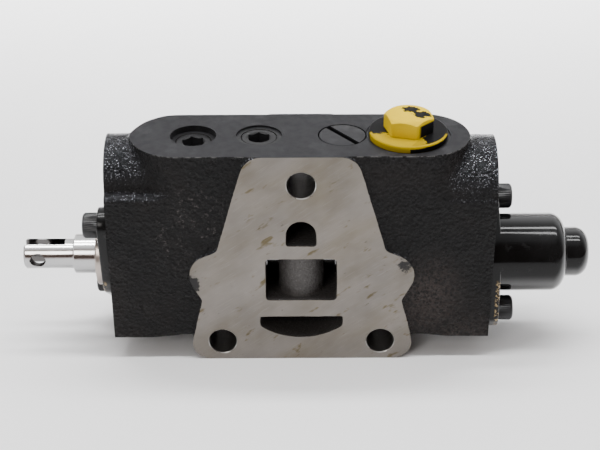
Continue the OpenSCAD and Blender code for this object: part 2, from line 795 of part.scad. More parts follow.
module check_poppet() {
    nose = 2;
    nose_r = check_hole_r - 0.25;
    nose_taper = 1.2;
    color([0.7, 0.7, 0.72]) translate([inner_plug_x, mid_y, z(seat_h)]) difference() {
        rotate_extrude() polygon([
            [0, -nose], [nose_r - nose_taper, -nose], [nose_r, 0], [check_guide_r, 0],
            [check_guide_r, poppet_l], [0, poppet_l]
        ]);
        translate([0, 0, poppet_floor]) cylinder(r = check_pocket_r, h = poppet_l);
    }
}

module transport_plug() {
    seat_z = z(top_h - spotface_depth);
    edge = 0.7;
    hex_r = plug_hex / 2 / cos(30);
    head_top = plug_flange_t + plug_hex_l;
    color([0.85, 0.74, 0.12]) translate([port_x, mid_y, seat_z]) difference() {
        union() {
            translate([0, 0, -port_thread_l]) cylinder(d = port_thread_d, h = port_thread_l + past);
            cylinder(d = plug_flange_d, h = plug_flange_t);
            intersection() {
                hex(plug_hex, head_top, plug_hex_turn);
                rotate_extrude() polygon([
                    [0, 0], [hex_r + edge, 0], [hex_r + edge, head_top - 2 * edge],
                    [hex_r - edge, head_top], [0, head_top]
                ]);
            }
        }
        translate([0, 0, -o_ring_pocket_l]) ring(port_thread_d / 2 - 0.1, port_thread_d, o_ring_pocket_l);
        translate([0, 0, -port_thread_l - past]) cylinder(r = plug_bore_r, h = plug_bore_l + past);
    }
}

module transport_plug_o_ring() {
    ring_h = top_h - spotface_depth - transport_o_ring_r - fit_gap;
    color([0.1, 0.1, 0.1]) translate([port_x, mid_y, z(ring_h)])
        o_ring(port_thread_d / 2 + transport_o_ring_r, transport_o_ring_r);
}

valve_body();
spool();
spool_end_screw();
inner_spring_seat();
outer_spring_seat();
centring_spring();
left_spool_seal();
right_spool_seal();
right_seal_washer();
wiper_ring();
seal_retainer();
left_flange();
left_flange_screws();
spring_cap();
spring_cap_o_ring();
spring_cap_screws();
port_plug();
port_plug_washer();
gallery_plug();
gallery_plug_washer();
check_plug();
check_plug_o_ring();
check_spring();
check_poppet();
transport_plug();
transport_plug_o_ring();
left_boss_plug();
left_boss_washer();
right_boss_plug();
right_boss_washer();
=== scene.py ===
import logging
import math
from dataclasses import dataclass, field
from enum import Enum
from typing import Callable, Optional, Sequence

import bpy
import numpy as np
from mathutils import Matrix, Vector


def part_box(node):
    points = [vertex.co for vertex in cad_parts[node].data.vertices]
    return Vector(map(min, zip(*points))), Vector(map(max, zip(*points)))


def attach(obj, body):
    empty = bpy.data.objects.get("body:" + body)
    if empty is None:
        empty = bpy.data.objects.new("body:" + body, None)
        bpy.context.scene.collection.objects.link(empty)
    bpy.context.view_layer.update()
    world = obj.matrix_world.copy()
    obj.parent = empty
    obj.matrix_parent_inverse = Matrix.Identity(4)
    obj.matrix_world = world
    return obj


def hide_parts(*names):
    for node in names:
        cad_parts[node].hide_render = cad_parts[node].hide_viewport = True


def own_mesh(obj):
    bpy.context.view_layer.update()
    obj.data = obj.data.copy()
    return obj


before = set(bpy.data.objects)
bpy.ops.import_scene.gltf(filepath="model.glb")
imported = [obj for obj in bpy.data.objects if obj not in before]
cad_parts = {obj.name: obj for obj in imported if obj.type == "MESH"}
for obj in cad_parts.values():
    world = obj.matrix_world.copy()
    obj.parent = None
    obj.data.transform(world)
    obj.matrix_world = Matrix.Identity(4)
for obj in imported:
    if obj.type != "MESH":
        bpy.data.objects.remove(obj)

# Looks of a hydraulic directional valve: a painted iron casting with a bare ground mounting face, a forked
# spool, a spring cap and its plugs. Sizes are in millimetres, in the frame's own axes, and become metres
# only when a mesh is made. Heights named *_h are measured from the foot of the mounting pad.

log = logging.getLogger("valve")
Array = np.ndarray
Socket = bpy.types.NodeSocket
Feed = Socket | float

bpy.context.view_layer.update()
FOOT_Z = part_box("valve_body")[0][2] * 1000.0
HALF_L, DEPTH, TOP_H = 75.0, 38.0, 91.2
SPOOL_Y, SPOOL_H = 19.0, 38.6
LEFT_BOSS_H, RIGHT_BOSS_H = 75.0, 71.0
PORT_X, CHECK_X = 41.3, 16.0
PORT_PLUG_SUNK, GALLERY_PLUG_SUNK, BOSS_PLUG_SUNK = 2.5, 0.8, 1.0
SCREW_PCD, SCREW_LEAN = 45.0, 30.0
FLANGE_T, LUG_R = 3.7, 7.25


def height(h: float) -> float:
    """Turns a height above the foot into a Z of the frame."""
    return FOOT_Z + h


def on_axis(x: float, back: float = 0.0, up: float = 0.0) -> tuple:
    """A place on the spool's axis, or steps back and up from it."""
    return (x, SPOOL_Y + back, height(SPOOL_H + up))


# --------------------------------------------------------------------------------------------------------
# Meshes
# --------------------------------------------------------------------------------------------------------


class Way(Enum):
    """A direction that a turned or extruded piece points in, as its own (across, up, along) axes."""

    RIGHT = ((0, 1, 0), (0, 0, 1), (1, 0, 0))
    LEFT = ((0, 0, 1), (0, 1, 0), (-1, 0, 0))
    BACK = ((0, 0, 1), (1, 0, 0), (0, 1, 0))
    UP = ((1, 0, 0), (0, 1, 0), (0, 0, 1))


@dataclass
class Shape:
    """A closed surface: points in millimetres, four-sided faces, and faces of any other number of sides."""

    points: Array
    quads: Array = field(default_factory=lambda: np.zeros((0, 4), dtype=np.int64))
    others: list = field(default_factory=list)

    def faces(self) -> list:
        """Returns every face as a list of point numbers."""
        return self.quads.tolist() + [list(map(int, f)) for f in self.others]

    def placed(self, way: Way, at: Sequence[float]) -> "Shape":
        """Lays the shape's own x, y, z along a way's axes, and moves it.

        Args:
            way: The direction that the shape's z is to point in.
            at: The place of the shape's own zero, in millimetres.

        Returns:
            The shape in its place.
        """
        basis = np.array(way.value, dtype=float)
        return Shape(self.points @ basis + np.array(at, dtype=float), self.quads, self.others)

    def spun(self, degrees: float) -> "Shape":
        """Turns the shape about its own z."""
        a = math.radians(degrees)
        turn = np.array([[math.cos(a), math.sin(a), 0], [-math.sin(a), math.cos(a), 0], [0, 0, 1]])
        return Shape(self.points @ turn, self.quads, self.others)


def joined(shapes: Sequence[Shape]) -> Shape:
    """Puts several shapes into one, without merging their points.

    Args:
        shapes: The shapes, in order.

    Returns:
        One shape that holds them all.
    """
    points, quads, others, start = [], [], [], 0
    for shape in shapes:
        points.append(shape.points)
        quads.append(shape.quads + start)
        others += [[v + start for v in f] for f in shape.others]
        start += len(shape.points)
    return Shape(np.vstack(points), np.vstack(quads), others)


def softened(corners: Sequence[Sequence[float]], closed: bool = False, steps: int = 6) -> Array:
    """Rounds the corners of a flat path.

    Each corner is replaced by the arc that touches both of its sides: the arc's centre lies on the line that
    halves the corner, at radius / sin(half angle), and its ends at radius / tan(half angle) from the corner.

    Args:
        corners: Rows of x, y and radius; a radius of 0 keeps the corner.
        closed: True where the last corner leads back to the first.
        steps: Straight pieces in each arc.

    Returns:
        The points of the path, as rows of x and y.
    """
    table = np.array([list(c) + [0.0] * (3 - len(c)) for c in corners], dtype=float)
    at, radius = table[:, :2], np.maximum(table[:, 2], 1e-4)
    before, after = np.roll(at, 1, axis=0) - at, np.roll(at, -1, axis=0) - at
    if not closed:
        before[0], after[-1] = -after[0], -before[-1]
    u = before / np.linalg.norm(before, axis=1)[:, None]
    v = after / np.linalg.norm(after, axis=1)[:, None]
    half = np.arccos(np.clip((u * v).sum(axis=1), -1, 1)) / 2
    straight = half > math.pi / 2 - 1e-3
    middle = u + v
    middle[straight] = 1.0
    middle /= np.linalg.norm(middle, axis=1)[:, None]
    centre = at + middle * (radius / np.sin(half))[:, None]
    p = at + u * (radius / np.tan(half))[:, None] - centre
    q = at + v * (radius / np.tan(half))[:, None] - centre
    start = np.arctan2(p[:, 1], p[:, 0])
    sweep = (np.arctan2(q[:, 1], q[:, 0]) - start + math.pi) % (2 * math.pi) - math.pi
    turn = start[:, None] + sweep[:, None] * np.linspace(0, 1, steps + 1)[None, :]
    arcs = centre[:, None, :] + radius[:, None, None] * np.stack([np.cos(turn), np.sin(turn)], axis=2)
    sharp = straight | (table[:, 2] <= 0)
    rows = [at[i][None, :] if sharp[i] else arcs[i] for i in range(len(at))]
    return np.vstack(rows)


def wall_quads(rows: int, sides: int, loop: bool = False) -> Array:
    """The faces between rings of points that lie one after another.

    Args:
        rows: Number of rings.
        sides: Points in each ring.
        loop: True where the last ring leads back to the first.

    Returns:
        Rows of four point numbers.
    """
    i, k = np.meshgrid(np.arange(rows if loop else rows - 1), np.arange(sides), indexing="ij")
    j, m = (i + 1) % rows, (k + 1) % sides
    return np.stack([i * sides + k, i * sides + m, j * sides + m, j * sides + k], axis=2).reshape(-1, 4)


def sleeve(rings: Array, flip: bool = False) -> Shape:
    """A closed surface through rings of points, with a flat face at each end.

    Args:
        rings: Points, laid out as rings by steps round by x, y, z.
        flip: True where the faces would otherwise look inwards.

    Returns:
        The closed surface.
    """
    rows, sides = rings.shape[:2]
    quads = wall_quads(rows, sides)
    ends = [list(range(sides))[::-1], list(range((rows - 1) * sides, rows * sides))]
    if flip:
        quads, ends = quads[:, [0, 3, 2, 1]], [end[::-1] for end in ends]
    return Shape(rings.reshape(-1, 3), quads, ends)


def turned(profile: Array, sides: int = 96, loop: bool = False) -> Shape:
    """A surface of revolution about z: each profile point (r, t) goes round as (r cos a, r sin a, t).

    Args:
        profile: Rows of radius and place along z, running up the outside.
        sides: Steps round the axis.
        loop: True for a closed section, as of a ring; otherwise both ends lie on the axis.

    Returns:
        The closed surface.
    """
    a = np.arange(sides) * 2 * math.pi / sides
    body = profile if loop else profile[1:-1]
    n = len(body)
    ring = np.stack([np.outer(body[:, 0], np.cos(a)), np.outer(body[:, 0], np.sin(a)),
                     np.repeat(body[:, 1:2], sides, axis=1)], axis=2).reshape(-1, 3)
    quads = wall_quads(n, sides, loop)
    if loop:
        return Shape(ring, quads)
    k = np.arange(sides)
    m = (k + 1) % sides
    low, high, top = n * sides, n * sides + 1, (n - 1) * sides
    caps = np.vstack([np.stack([np.full(sides, low), m, k], axis=1),
                      np.stack([np.full(sides, high), top + k, top + m], axis=1)])
    points = np.vstack([ring, [[0, 0, profile[0, 1]], [0, 0, profile[-1, 1]]]])
    return Shape(points, quads, caps.tolist())


def rod(radius: float, start: float, end: float, sides: int = 64) -> Shape:
    """A round bar from start to end along z."""
    return turned(np.array([[0, start], [radius, start], [radius, end], [0, end]]), sides)


def stepped_path(steps: Sequence[tuple]) -> Array:
    """The section of a stepped hole, from just outside its mouth to its floor.

    Args:
        steps: Rows of radius and depth, from the widest to the narrowest.

    Returns:
        Rows of radius and depth.
    """
    path = [(0.0, -1.0), (steps[0][0], -1.0)]
    for (r, deep), (after, _) in zip(steps, [*steps[1:], (0.0, 0.0)]):
        path += [(r, deep), (after, deep)]
    return np.array(path)


def drilled(steps: Sequence[tuple], sides: int = 96) -> Shape:
    """A stepped hole below the plane z = 0, as a cutter."""
    return turned(stepped_path(steps)[::-1] * (1, -1), sides)


def plate(outline: Array, start: float, end: float, rim: float = 0.0, low_rim: float = 0.0,
          steps: int = 3) -> Shape:
    """An outline made solid along z, with rounded rims.

    Every ring is the outline moved inwards along its own normals by rim (1 - sin a), at a height that rises
    by rim cos a short of the face, so that the rim is a quarter circle.

    Args:
        outline: The outline's points, anticlockwise.
        start: Where it starts along z.
        end: Where it ends.
        rim: Radius of the rim at the end.
        low_rim: Radius of the rim at the start.
        steps: Straight pieces in each rim.

    Returns:
        The closed plate.
    """
    side = np.roll(outline, -1, axis=0) - outline
    side /= np.maximum(np.linalg.norm(side, axis=1), 1e-9)[:, None]
    facing = np.stack([side[:, 1], -side[:, 0]], axis=1)
    normal = facing + np.roll(facing, 1, axis=0)
    normal /= np.maximum((normal ** 2).sum(axis=1) / 2, 0.2)[:, None]
    turn = np.linspace(0, math.pi / 2, steps + 1)
    inset, level = [0.0], [start]
    if low_rim > 0:
        inset = list(low_rim * (1 - np.sin(turn)))
        level = list(start + low_rim * (1 - np.cos(turn)))
    if rim > 0:
        inset += list(rim * (1 - np.cos(turn)))
        level += list(end - rim * (1 - np.sin(turn)))
    else:
        inset.append(0.0)
        level.append(end)
    inset, level = np.array(inset), np.array(level)
    flat = outline[None, :, :] - normal[None, :, :] * inset[:, None, None]
    along = np.broadcast_to(level[:, None, None], flat.shape[:2] + (1,))
    return sleeve(np.concatenate([flat, along], axis=2))


def make_object(name: str, shape: Shape) -> bpy.types.Object:
    """Makes a Blender object in metres, at the origin, from a shape in millimetres.

    Args:
        name: The object's name, and its mesh's.
        shape: The shape to copy.

    Returns:
        The object, linked to the scene.
    """
    mesh = bpy.data.meshes.new(name)
    mesh.from_pydata((shape.points / 1000.0).tolist(), [], shape.faces())
    mesh.validate()
    mesh.update()
    thing = bpy.data.objects.new(name, mesh)
    bpy.context.scene.collection.objects.link(thing)
    return thing


def carve(thing: bpy.types.Object, cutter: Shape | bpy.types.Object, operation: str = "DIFFERENCE") -> None:
    """Cuts a closed shape out of an object, joins it on, or keeps only what lies inside it.

    Args:
        thing: The object to change, whose mesh is replaced.
        cutter: A closed shape, or an object, which is used up.
        operation: DIFFERENCE, UNION or INTERSECT.
    """
    tool = make_object("cutter", cutter) if isinstance(cutter, Shape) else cutter
    step = thing.modifiers.new("carve", "BOOLEAN")
    step.solver = "MANIFOLD"
    step.operation = operation
    step.object = tool
    bpy.context.view_layer.update()
    depsgraph = bpy.context.evaluated_depsgraph_get()
    made = bpy.data.meshes.new_from_object(thing.evaluated_get(depsgraph))
    if not made.polygons:
        raise RuntimeError("cutting " + thing.name + " left nothing")
    thing.modifiers.clear()
    old, thing.data = thing.data, made
    bpy.data.meshes.remove(old)
    bpy.data.objects.remove(tool)


def block(low: Sequence[float], high: Sequence[float]) -> Shape:
    """A plain box between two corners, used only to cut with."""
    pick = np.array([[i, j, k] for k in (0, 1) for i, j in ((0, 0), (1, 0), (1, 1), (0, 1))])
    points = np.where(pick == 1, np.array(high, dtype=float), np.array(low, dtype=float))
    quads = [[3, 2, 1, 0], [4, 5, 6, 7], [0, 1, 5, 4], [1, 2, 6, 5], [2, 3, 7, 6], [3, 0, 4, 7]]
    return Shape(points, np.array(quads))


# --------------------------------------------------------------------------------------------------------
# Solid shapes as distance fields
# --------------------------------------------------------------------------------------------------------


def blend_union(a: Array, b: Array, size: float) -> Array:
    """The union of two fields with a fillet: the lower of the two, less a quarter of size where they meet."""
    near = np.maximum(size - np.abs(a - b), 0) / size
    return np.minimum(a, b) - near * near * size / 4


def round_both(a: Array, b: Array, radius: Array | float) -> Array:
    """What lies in both fields, with the edge between them rounded to a radius."""
    u, v = np.maximum(a + radius, 0), np.maximum(b + radius, 0)
    return np.minimum(np.maximum(a, b), -radius) + np.sqrt(u * u + v * v)


def blend_cut(a: Array, b: Array, size: float) -> Array:
    """Field a with field b taken away, its edge eased over size."""
    return -blend_union(-a, b, size)


def outline_distance(x: Array, y: Array, outline: Array) -> Array:
    """Signed distance to a closed outline, below zero inside.

    The distance is the least distance to any side, and a point is inside where a ray to the right crosses an
    odd number of sides.

    Args:
        x: The points' first coordinates.
        y: Their second ones.
        outline: The outline's corners, in order.

    Returns:
        One distance for each point.
    """
    best = np.full(x.shape, 1e18)
    inside = np.zeros(x.shape, dtype=bool)
    for (x0, y0), (x1, y1) in zip(outline, np.roll(outline, -1, axis=0)):
        ex, ey = x1 - x0, y1 - y0
        px, py = x - x0, y - y0
        t = np.clip((px * ex + py * ey) / (ex * ex + ey * ey + 1e-12), 0, 1)
        best = np.minimum(best, (px - t * ex) ** 2 + (py - t * ey) ** 2)
        crosses = (y0 > y) != (y1 > y)
        inside ^= crosses & (px < ex * py / (ey if abs(ey) > 1e-9 else 1e-9))
    return np.where(inside, -1.0, 1.0) * np.sqrt(best)


def smooth_noise(points: Array, size: float, seed: int) -> Array:
    """Soft lattice noise between -1 and 1: random values at whole cells, eased between them by 3t2 - 2t3.

    Args:
        points: Rows of places.
        size: Size of a cell.
        seed: Picks the random values.

    Returns:
        One value for each place.
    """
    lattice = np.random.default_rng(seed).uniform(-1, 1, (64, 64, 64))
    q = points / size
    cell = np.floor(q).astype(np.int64)
    t = q - cell
    t = t * t * (3 - 2 * t)
    total = np.zeros(len(points))
    for corner in range(8):
        step = np.array([corner & 1, corner >> 1 & 1, corner >> 2 & 1])
        at = (cell + step) % 64
        weight = np.where(step == 1, t, 1 - t).prod(axis=1)
        total += weight * lattice[at[:, 0], at[:, 1], at[:, 2]]
    return total


def edges_of(value: Array, axis: int) -> tuple:
    """The two ends of every edge of a grid along one axis."""
    last = value.shape[axis] - 1
    return np.take(value, range(last), axis), np.take(value, range(1, last + 1), axis)


def cell_points(value: Array) -> tuple:
    """One point in each cell of a grid that a surface passes through.

    Args:
        value: The field at the grid's own points.

    Returns:
        Which cells are used, and each used cell's mean crossing, in cells from the grid's corner.
    """
    size = value.shape
    total = np.zeros(tuple(s - 1 for s in size) + (3,))
    count = np.zeros(tuple(s - 1 for s in size))
    for axis in range(3):
        others = [k for k in range(3) if k != axis]
        a, b = edges_of(value, axis)
        crossed = (a < 0) != (b < 0)
        share = np.where(crossed, a / np.where(crossed, a - b, 1), 0)
        for i in (0, 1):
            for j in (0, 1):
                pick = [slice(None)] * 3
                pick[others[0]] = slice(i, size[others[0]] - 1 + i)
                pick[others[1]] = slice(j, size[others[1]] - 1 + j)
                hit = crossed[tuple(pick)]
                count += hit
                total[..., axis] += np.where(hit, share[tuple(pick)], 0)
                total[..., others[0]] += hit * i
                total[..., others[1]] += hit * j
    used = count > 0
    return used, np.stack(np.nonzero(used), axis=1) + total[used] / count[used][:, None]


def cell_faces(inside: Array, number: Array) -> Array:
    """One face for each edge of a grid that a surface crosses, through the four cells round that edge.

    Args:
        inside: Whether each of the grid's own points lies inside.
        number: Each cell's point number.

    Returns:
        Rows of four point numbers.
    """
    quads = []
    for axis in range(3):
        u, v = (axis + 1) % 3, (axis + 2) % 3
        inner = tuple(slice(None) if k == axis else slice(1, -1) for k in range(3))
        a, b = edges_of(inside[inner], axis)
        at = np.stack(np.nonzero(a != b), axis=1)
        leaving = a[tuple(at.T)]
        at = at + np.where(np.arange(3) == axis, 0, 1)
        ring = []
        for du, dv in ((1, 1), (0, 1), (0, 0), (1, 0)):
            c = at.copy()
            c[:, u] -= du
            c[:, v] -= dv
            ring.append(number[tuple(c.T)])
        face = np.stack(ring, axis=1)
        quads.append(np.where(leaving[:, None], face, face[:, ::-1]))
    return np.vstack(quads)


def skin_of(solid: Callable[[Array], Array], low: Array, high: Array, cell: float) -> Shape:
    """Draws the surface where a field is zero, as a net of four-sided faces.

    Each cell of a grid that the surface passes through gets one point, the mean of the places where the
    cell's edges cross zero; each crossed edge of the grid gets one face, through the four cells round it.
    Two steps along the field's slope then put the points on the surface.

    Args:
        solid: Gives the field, below zero inside, at rows of points.
        low: Lowest corner of the grid.
        high: Highest corner of the grid.
        cell: Size of a cell.

    Returns:
        The closed net.
    """
    axes = [np.arange(low[i], high[i] + cell, cell) for i in range(3)]
    grid = np.stack([g.ravel() for g in np.meshgrid(*axes, indexing="ij")], axis=1)
    value = solid(grid).reshape([len(axis) for axis in axes])
    used, places = cell_points(value)
    number = np.full(used.shape, -1, dtype=np.int64)
    number[used] = np.arange(used.sum())
    points = low + places * cell
    eps = cell * 0.05
    for _ in range(2):
        here = solid(points)
        slope = np.stack([solid(points + eps * np.eye(3)[k]) - solid(points - eps * np.eye(3)[k])
                          for k in range(3)], axis=1) / (2 * eps)
        step = here[:, None] * slope / np.maximum((slope ** 2).sum(axis=1), 0.3)[:, None]
        points = points - np.clip(step, -cell / 2, cell / 2)
    return Shape(points, cell_faces(value < 0, number))


@dataclass
class CastShape:
    """The casting's own outer form and cast galleries, as a distance field, before any machining.

    A boss is its axis's height and its radius. The window is its half width, middle height and half height;
    the web is its axis's depth and its radius; the upper port is its arc's height, its radius and its foot's
    height; and the crescent is its lowest height, its bow's radius, its half width and its top's height. The
    wings' lower edge is rounder near the pad, and turns sharp over the easing's length.
    """

    step: float = 0.8
    wing_low_h: float = 9.5
    sharp_from_x: float = 62.0
    easing_l: float = 18.0
    left_ledge_h: float = 73.5
    right_ledge_h: float = 71.0
    top_half_l: float = 65.0
    top_from_h: float = 60.0
    left_boss: tuple = (LEFT_BOSS_H, 15.5)
    right_boss: tuple = (RIGHT_BOSS_H, 18.0)
    boss_from_x: float = 35.0
    spare: float = 1.7
    pad_corners: tuple = ((21.0, TOP_H, 8.5), (32.8, 50.3, 3.5), (47.6, 43.6, 9.5), (39.2, 27.8, 2.5),
                          (46.1, 0.0, 7.5))
    pad_shift: float = 0.25
    shift_below_h: float = 50.0
    gallery_depth: float = 31.0
    window: tuple = (14.0, 37.4, 9.5)
    web: tuple = (12.0, 9.0)
    port: tuple = (57.8, 5.9, 52.7)
    crescent: tuple = (10.3, 26.7, 16.5, 20.3)

    def pad_outline(self) -> Array:
        """The mounting pad's outline in x and height, anticlockwise from its foot.

        Both halves are alike, but below the waist the cast pad sits a little to the right of its holes.
        """
        neck = self.pad_corners[0][0] - self.pad_corners[0][2] + 0.8
        side = ((neck, TOP_H + 4, 0.0), (neck, TOP_H, 0.0)) + self.pad_corners
        rows = [(x, h, r) for x, h, r in side[::-1]] + [(-x, h, r) for x, h, r in side]
        rows = [(x + (self.pad_shift if h < self.shift_below_h else 0.0), h, r) for x, h, r in rows]
        return softened(rows, closed=True, steps=8)

    def field(self, p: Array) -> Array:
        """Signed distance at rows of points, below zero in the iron.

        The wings are a slab with rounded edges, the raised top is a capsule seen from above, and the end
        bosses are bars along x. They are joined with fillets and trimmed to the slab, and then the mounting
        pad's outline, carried right through, is joined to them. Soft noise gives the skin its cast ripple.

        Args:
            p: The points, in the frame's axes.

        Returns:
            One distance for each point.
        """
        x, y, h = p[:, 0], p[:, 1], p[:, 2] - FOOT_Z
        mid = (DEPTH + self.step) / 2
        thick = (DEPTH - self.step) / 2
        slab = np.abs(y - mid) - thick
        ledge = np.where(x < 0, self.left_ledge_h, self.right_ledge_h)
        near_pad = np.clip((self.sharp_from_x - np.abs(x)) / self.easing_l, 0, 1)
        low_r = 1.0 + 3.0 * near_pad * near_pad * (3 - 2 * near_pad)
        wing = round_both(slab, self.wing_low_h - h, low_r)
        wing = round_both(wing, h - ledge, 1.6)
        top = np.hypot(np.maximum(np.abs(x) - (self.top_half_l - thick), 0), y - mid) - thick
        top = np.maximum(top, self.top_from_h - h)
        left, right = (np.maximum(np.hypot(y - mid, h - axis_h) - r, self.boss_from_x + side * x)
                       for side, (axis_h, r) in ((1, self.left_boss), (-1, self.right_boss)))
        iron = blend_union(wing, np.minimum(left, right), 2.4)
        iron = blend_union(iron, top, 3.2)
        iron = np.maximum(iron, slab)
        iron = blend_union(iron, outline_distance(x, h, self.pad_outline()), 1.1)
        iron = round_both(iron, y - DEPTH, 1.8)
        iron = blend_cut(iron, self.galleries(x, y, h), 0.3)
        ripple = 0.10 * smooth_noise(p, 5.2, 3) + 0.05 * smooth_noise(p, 2.3, 4)
        past = np.maximum(np.maximum(np.abs(x) - HALF_L, -y), h - TOP_H) - self.spare
        return np.maximum(iron + ripple, past)

    def galleries(self, x: Array, y: Array, h: Array) -> Array:
        """The cast galleries as one field: window round its upright web, upper port and crescent port.

        Args:
            x: Places along the spool.
            y: Depths behind the pad.
            h: Heights above the foot.

        Returns:
            One distance for each place, below zero in a gallery.
        """
        back = y - self.gallery_depth
        half_w, middle_h, half_h = self.window
        window = round_both(np.abs(x) - half_w, np.abs(h - middle_h) - half_h, 1.5)
        web = np.hypot(x, np.minimum(y - self.web[0], 0)) - self.web[1]
        window = blend_cut(round_both(window, back, 2.0), web, 1.2)
        arc_h, r, foot_h = self.port
        port = np.minimum(np.hypot(x, h - arc_h) - r, np.maximum(np.abs(x) - r, h - arc_h))
        port = round_both(round_both(port, foot_h - h, 1.0), back, 2.0)
        low_h, bow, half_w, high_h = self.crescent
        crescent = np.maximum(np.hypot(x, h - low_h - bow) - bow, h - high_h)
        crescent = round_both(round_both(crescent, np.abs(x) - half_w, 0.8), back, 2.0)
        return np.minimum(np.minimum(window, port), crescent)

    def net(self, cell: float = 0.78, margin: float = 3.1) -> Shape:
        """The rough casting, a little over size wherever it is machined later."""
        low = np.array([-HALF_L - margin, -margin, FOOT_Z - margin])
        high = np.array([HALF_L + margin, DEPTH + margin, FOOT_Z + TOP_H + margin])
        return skin_of(self.field, low, high, cell)


# --------------------------------------------------------------------------------------------------------
# Finishes
# --------------------------------------------------------------------------------------------------------


@dataclass(frozen=True)
class Spot:
    """A soft patch: its middle and its reach along x, y and z in millimetres, and its strength."""

    middle: tuple
    reach: tuple
    strength: float = 1.0


class Graph:
    """Builds a node tree from short calls."""

    def __init__(self, tree: bpy.types.NodeTree) -> None:
        """Keeps the tree that nodes are added to."""
        self.tree = tree

    def feed(self, made: bpy.types.Node, inputs: dict) -> bpy.types.Node:
        """Fills a node's sockets.

        Args:
            made: The node.
            inputs: Socket name or number to a value, or to the socket that feeds it.

        Returns:
            The same node.
        """
        for name, value in inputs.items():
            socket = made.inputs[name]
            if isinstance(value, Socket):
                self.tree.links.new(value, socket)
            elif isinstance(value, tuple) and len(value) < len(socket.default_value):
                socket.default_value = (*value, 1.0)
            else:
                socket.default_value = value
        return made

    def node(self, kind: str, inputs: Optional[dict] = None, **options: str) -> bpy.types.Node:
        """Adds a node.

        Args:
            kind: The node's type, without its ShaderNode prefix.
            inputs: Socket name or number to a value, or to the socket that feeds it.
            options: The node's own settings.

        Returns:
            The node.
        """
        made = self.tree.nodes.new("ShaderNode" + kind)
        for name, value in options.items():
            setattr(made, name, value)
        return self.feed(made, inputs or {})

    def maths(self, what: str, a: Feed, b: Feed = 0.0, c: Feed = 0.0) -> Socket:
        """A number worked out from up to three others."""
        return self.node("Math", {0: a, 1: b, 2: c}, operation=what).outputs[0]

    def times(self, first: Feed, *others: Feed) -> Socket:
        """Numbers multiplied together, from left to right."""
        for other in others:
            first = self.maths("MULTIPLY", first, other)
        return first

    def vector(self, what: str, a: Socket, b: Socket | tuple = (0.0, 0.0, 0.0)) -> bpy.types.Node:
        """A vector sum, product or length, as its node."""
        return self.node("VectorMath", {0: a, 1: b}, operation=what)

    def axes(self, place: Socket) -> tuple:
        """A vector's x, y and z."""
        return tuple(self.node("SeparateXYZ", {0: place}).outputs)

    def clamp_span(self, value: Feed, low: float, high: float, to_low: float = 0.0,
                   to_high: float = 1.0) -> Socket:
        """A value eased from one span to another."""
        return self.node("MapRange", {"Value": value, "From Min": low, "From Max": high, "To Min": to_low,
                                      "To Max": to_high}, interpolation_type="SMOOTHSTEP").outputs[0]

    def mix(self, share: Feed, a: Socket | tuple, b: Socket | tuple) -> Socket:
        """Two colours mixed by a share."""
        return self.node("Mix", {0: share, 6: a, 7: b}, data_type="RGBA").outputs[2]

    def noise(self, place: Socket, scale: float, detail: float = 3.0, rough: float = 0.55) -> Socket:
        """Soft noise between 0 and 1; scale is in cycles to a millimetre."""
        return self.node("TexNoise", {"Vector": place, "Scale": scale, "Detail": detail,
                                      "Roughness": rough}).outputs[0]

    def near(self, place: Socket, spots: Sequence[Spot]) -> Socket:
        """How near a place is to any of some spots.

        Args:
            place: A place in millimetres.
            spots: The spots; where they overlap the stronger one counts.

        Returns:
            A spot's strength in its middle, falling to 0 at its reach.
        """
        masks = []
        for spot in spots:
            shift = self.vector("SUBTRACT", place, spot.middle).outputs[0]
            scaled = self.vector("MULTIPLY", shift, tuple(1.0 / r for r in spot.reach)).outputs[0]
            size = self.vector("LENGTH", scaled).outputs[1]
            masks.append(self.times(self.clamp_span(size, 1.0, 0.0), spot.strength))
        total = masks[0]
        for mask in masks[1:]:
            total = self.maths("MAXIMUM", total, mask)
        return total

    def tilt(self) -> Socket:
        """The upward part of the surface's normal: 1 facing up, 0 upright, -1 facing down."""
        return self.axes(self.node("NewGeometry").outputs["Normal"])[2]


NUMBER, COLOUR, VECTOR = "NodeSocketFloat", "NodeSocketColor", "NodeSocketVector"


def group(name: str, inputs: dict, outputs: dict, build: Callable[[Graph, dict], dict]) -> bpy.types.NodeTree:
    """Makes a shader node group once.

    Args:
        name: The group's name.
        inputs: Input name to its default: a number, a colour, or None for a vector.
        outputs: Output name to its socket type.
        build: Fills the tree, given the graph and the input sockets by name, and returns the output sockets.

    Returns:
        The group's tree.
    """
    if name in bpy.data.node_groups:
        return bpy.data.node_groups[name]
    tree = bpy.data.node_groups.new(name, "ShaderNodeTree")
    for key, default in inputs.items():
        kind = VECTOR if default is None else COLOUR if isinstance(default, tuple) else NUMBER
        socket = tree.interface.new_socket(name=key, in_out="INPUT", socket_type=kind)
        if default is not None:
            socket.default_value = (*default, 1.0) if kind == COLOUR else default
    for key, kind in outputs.items():
        tree.interface.new_socket(name=key, in_out="OUTPUT", socket_type=kind)
    start, end = tree.nodes.new("NodeGroupInput"), tree.nodes.new("NodeGroupOutput")
    g = Graph(tree)
    g.feed(end, build(g, {s.name: s for s in start.outputs if s.name}))
    return tree


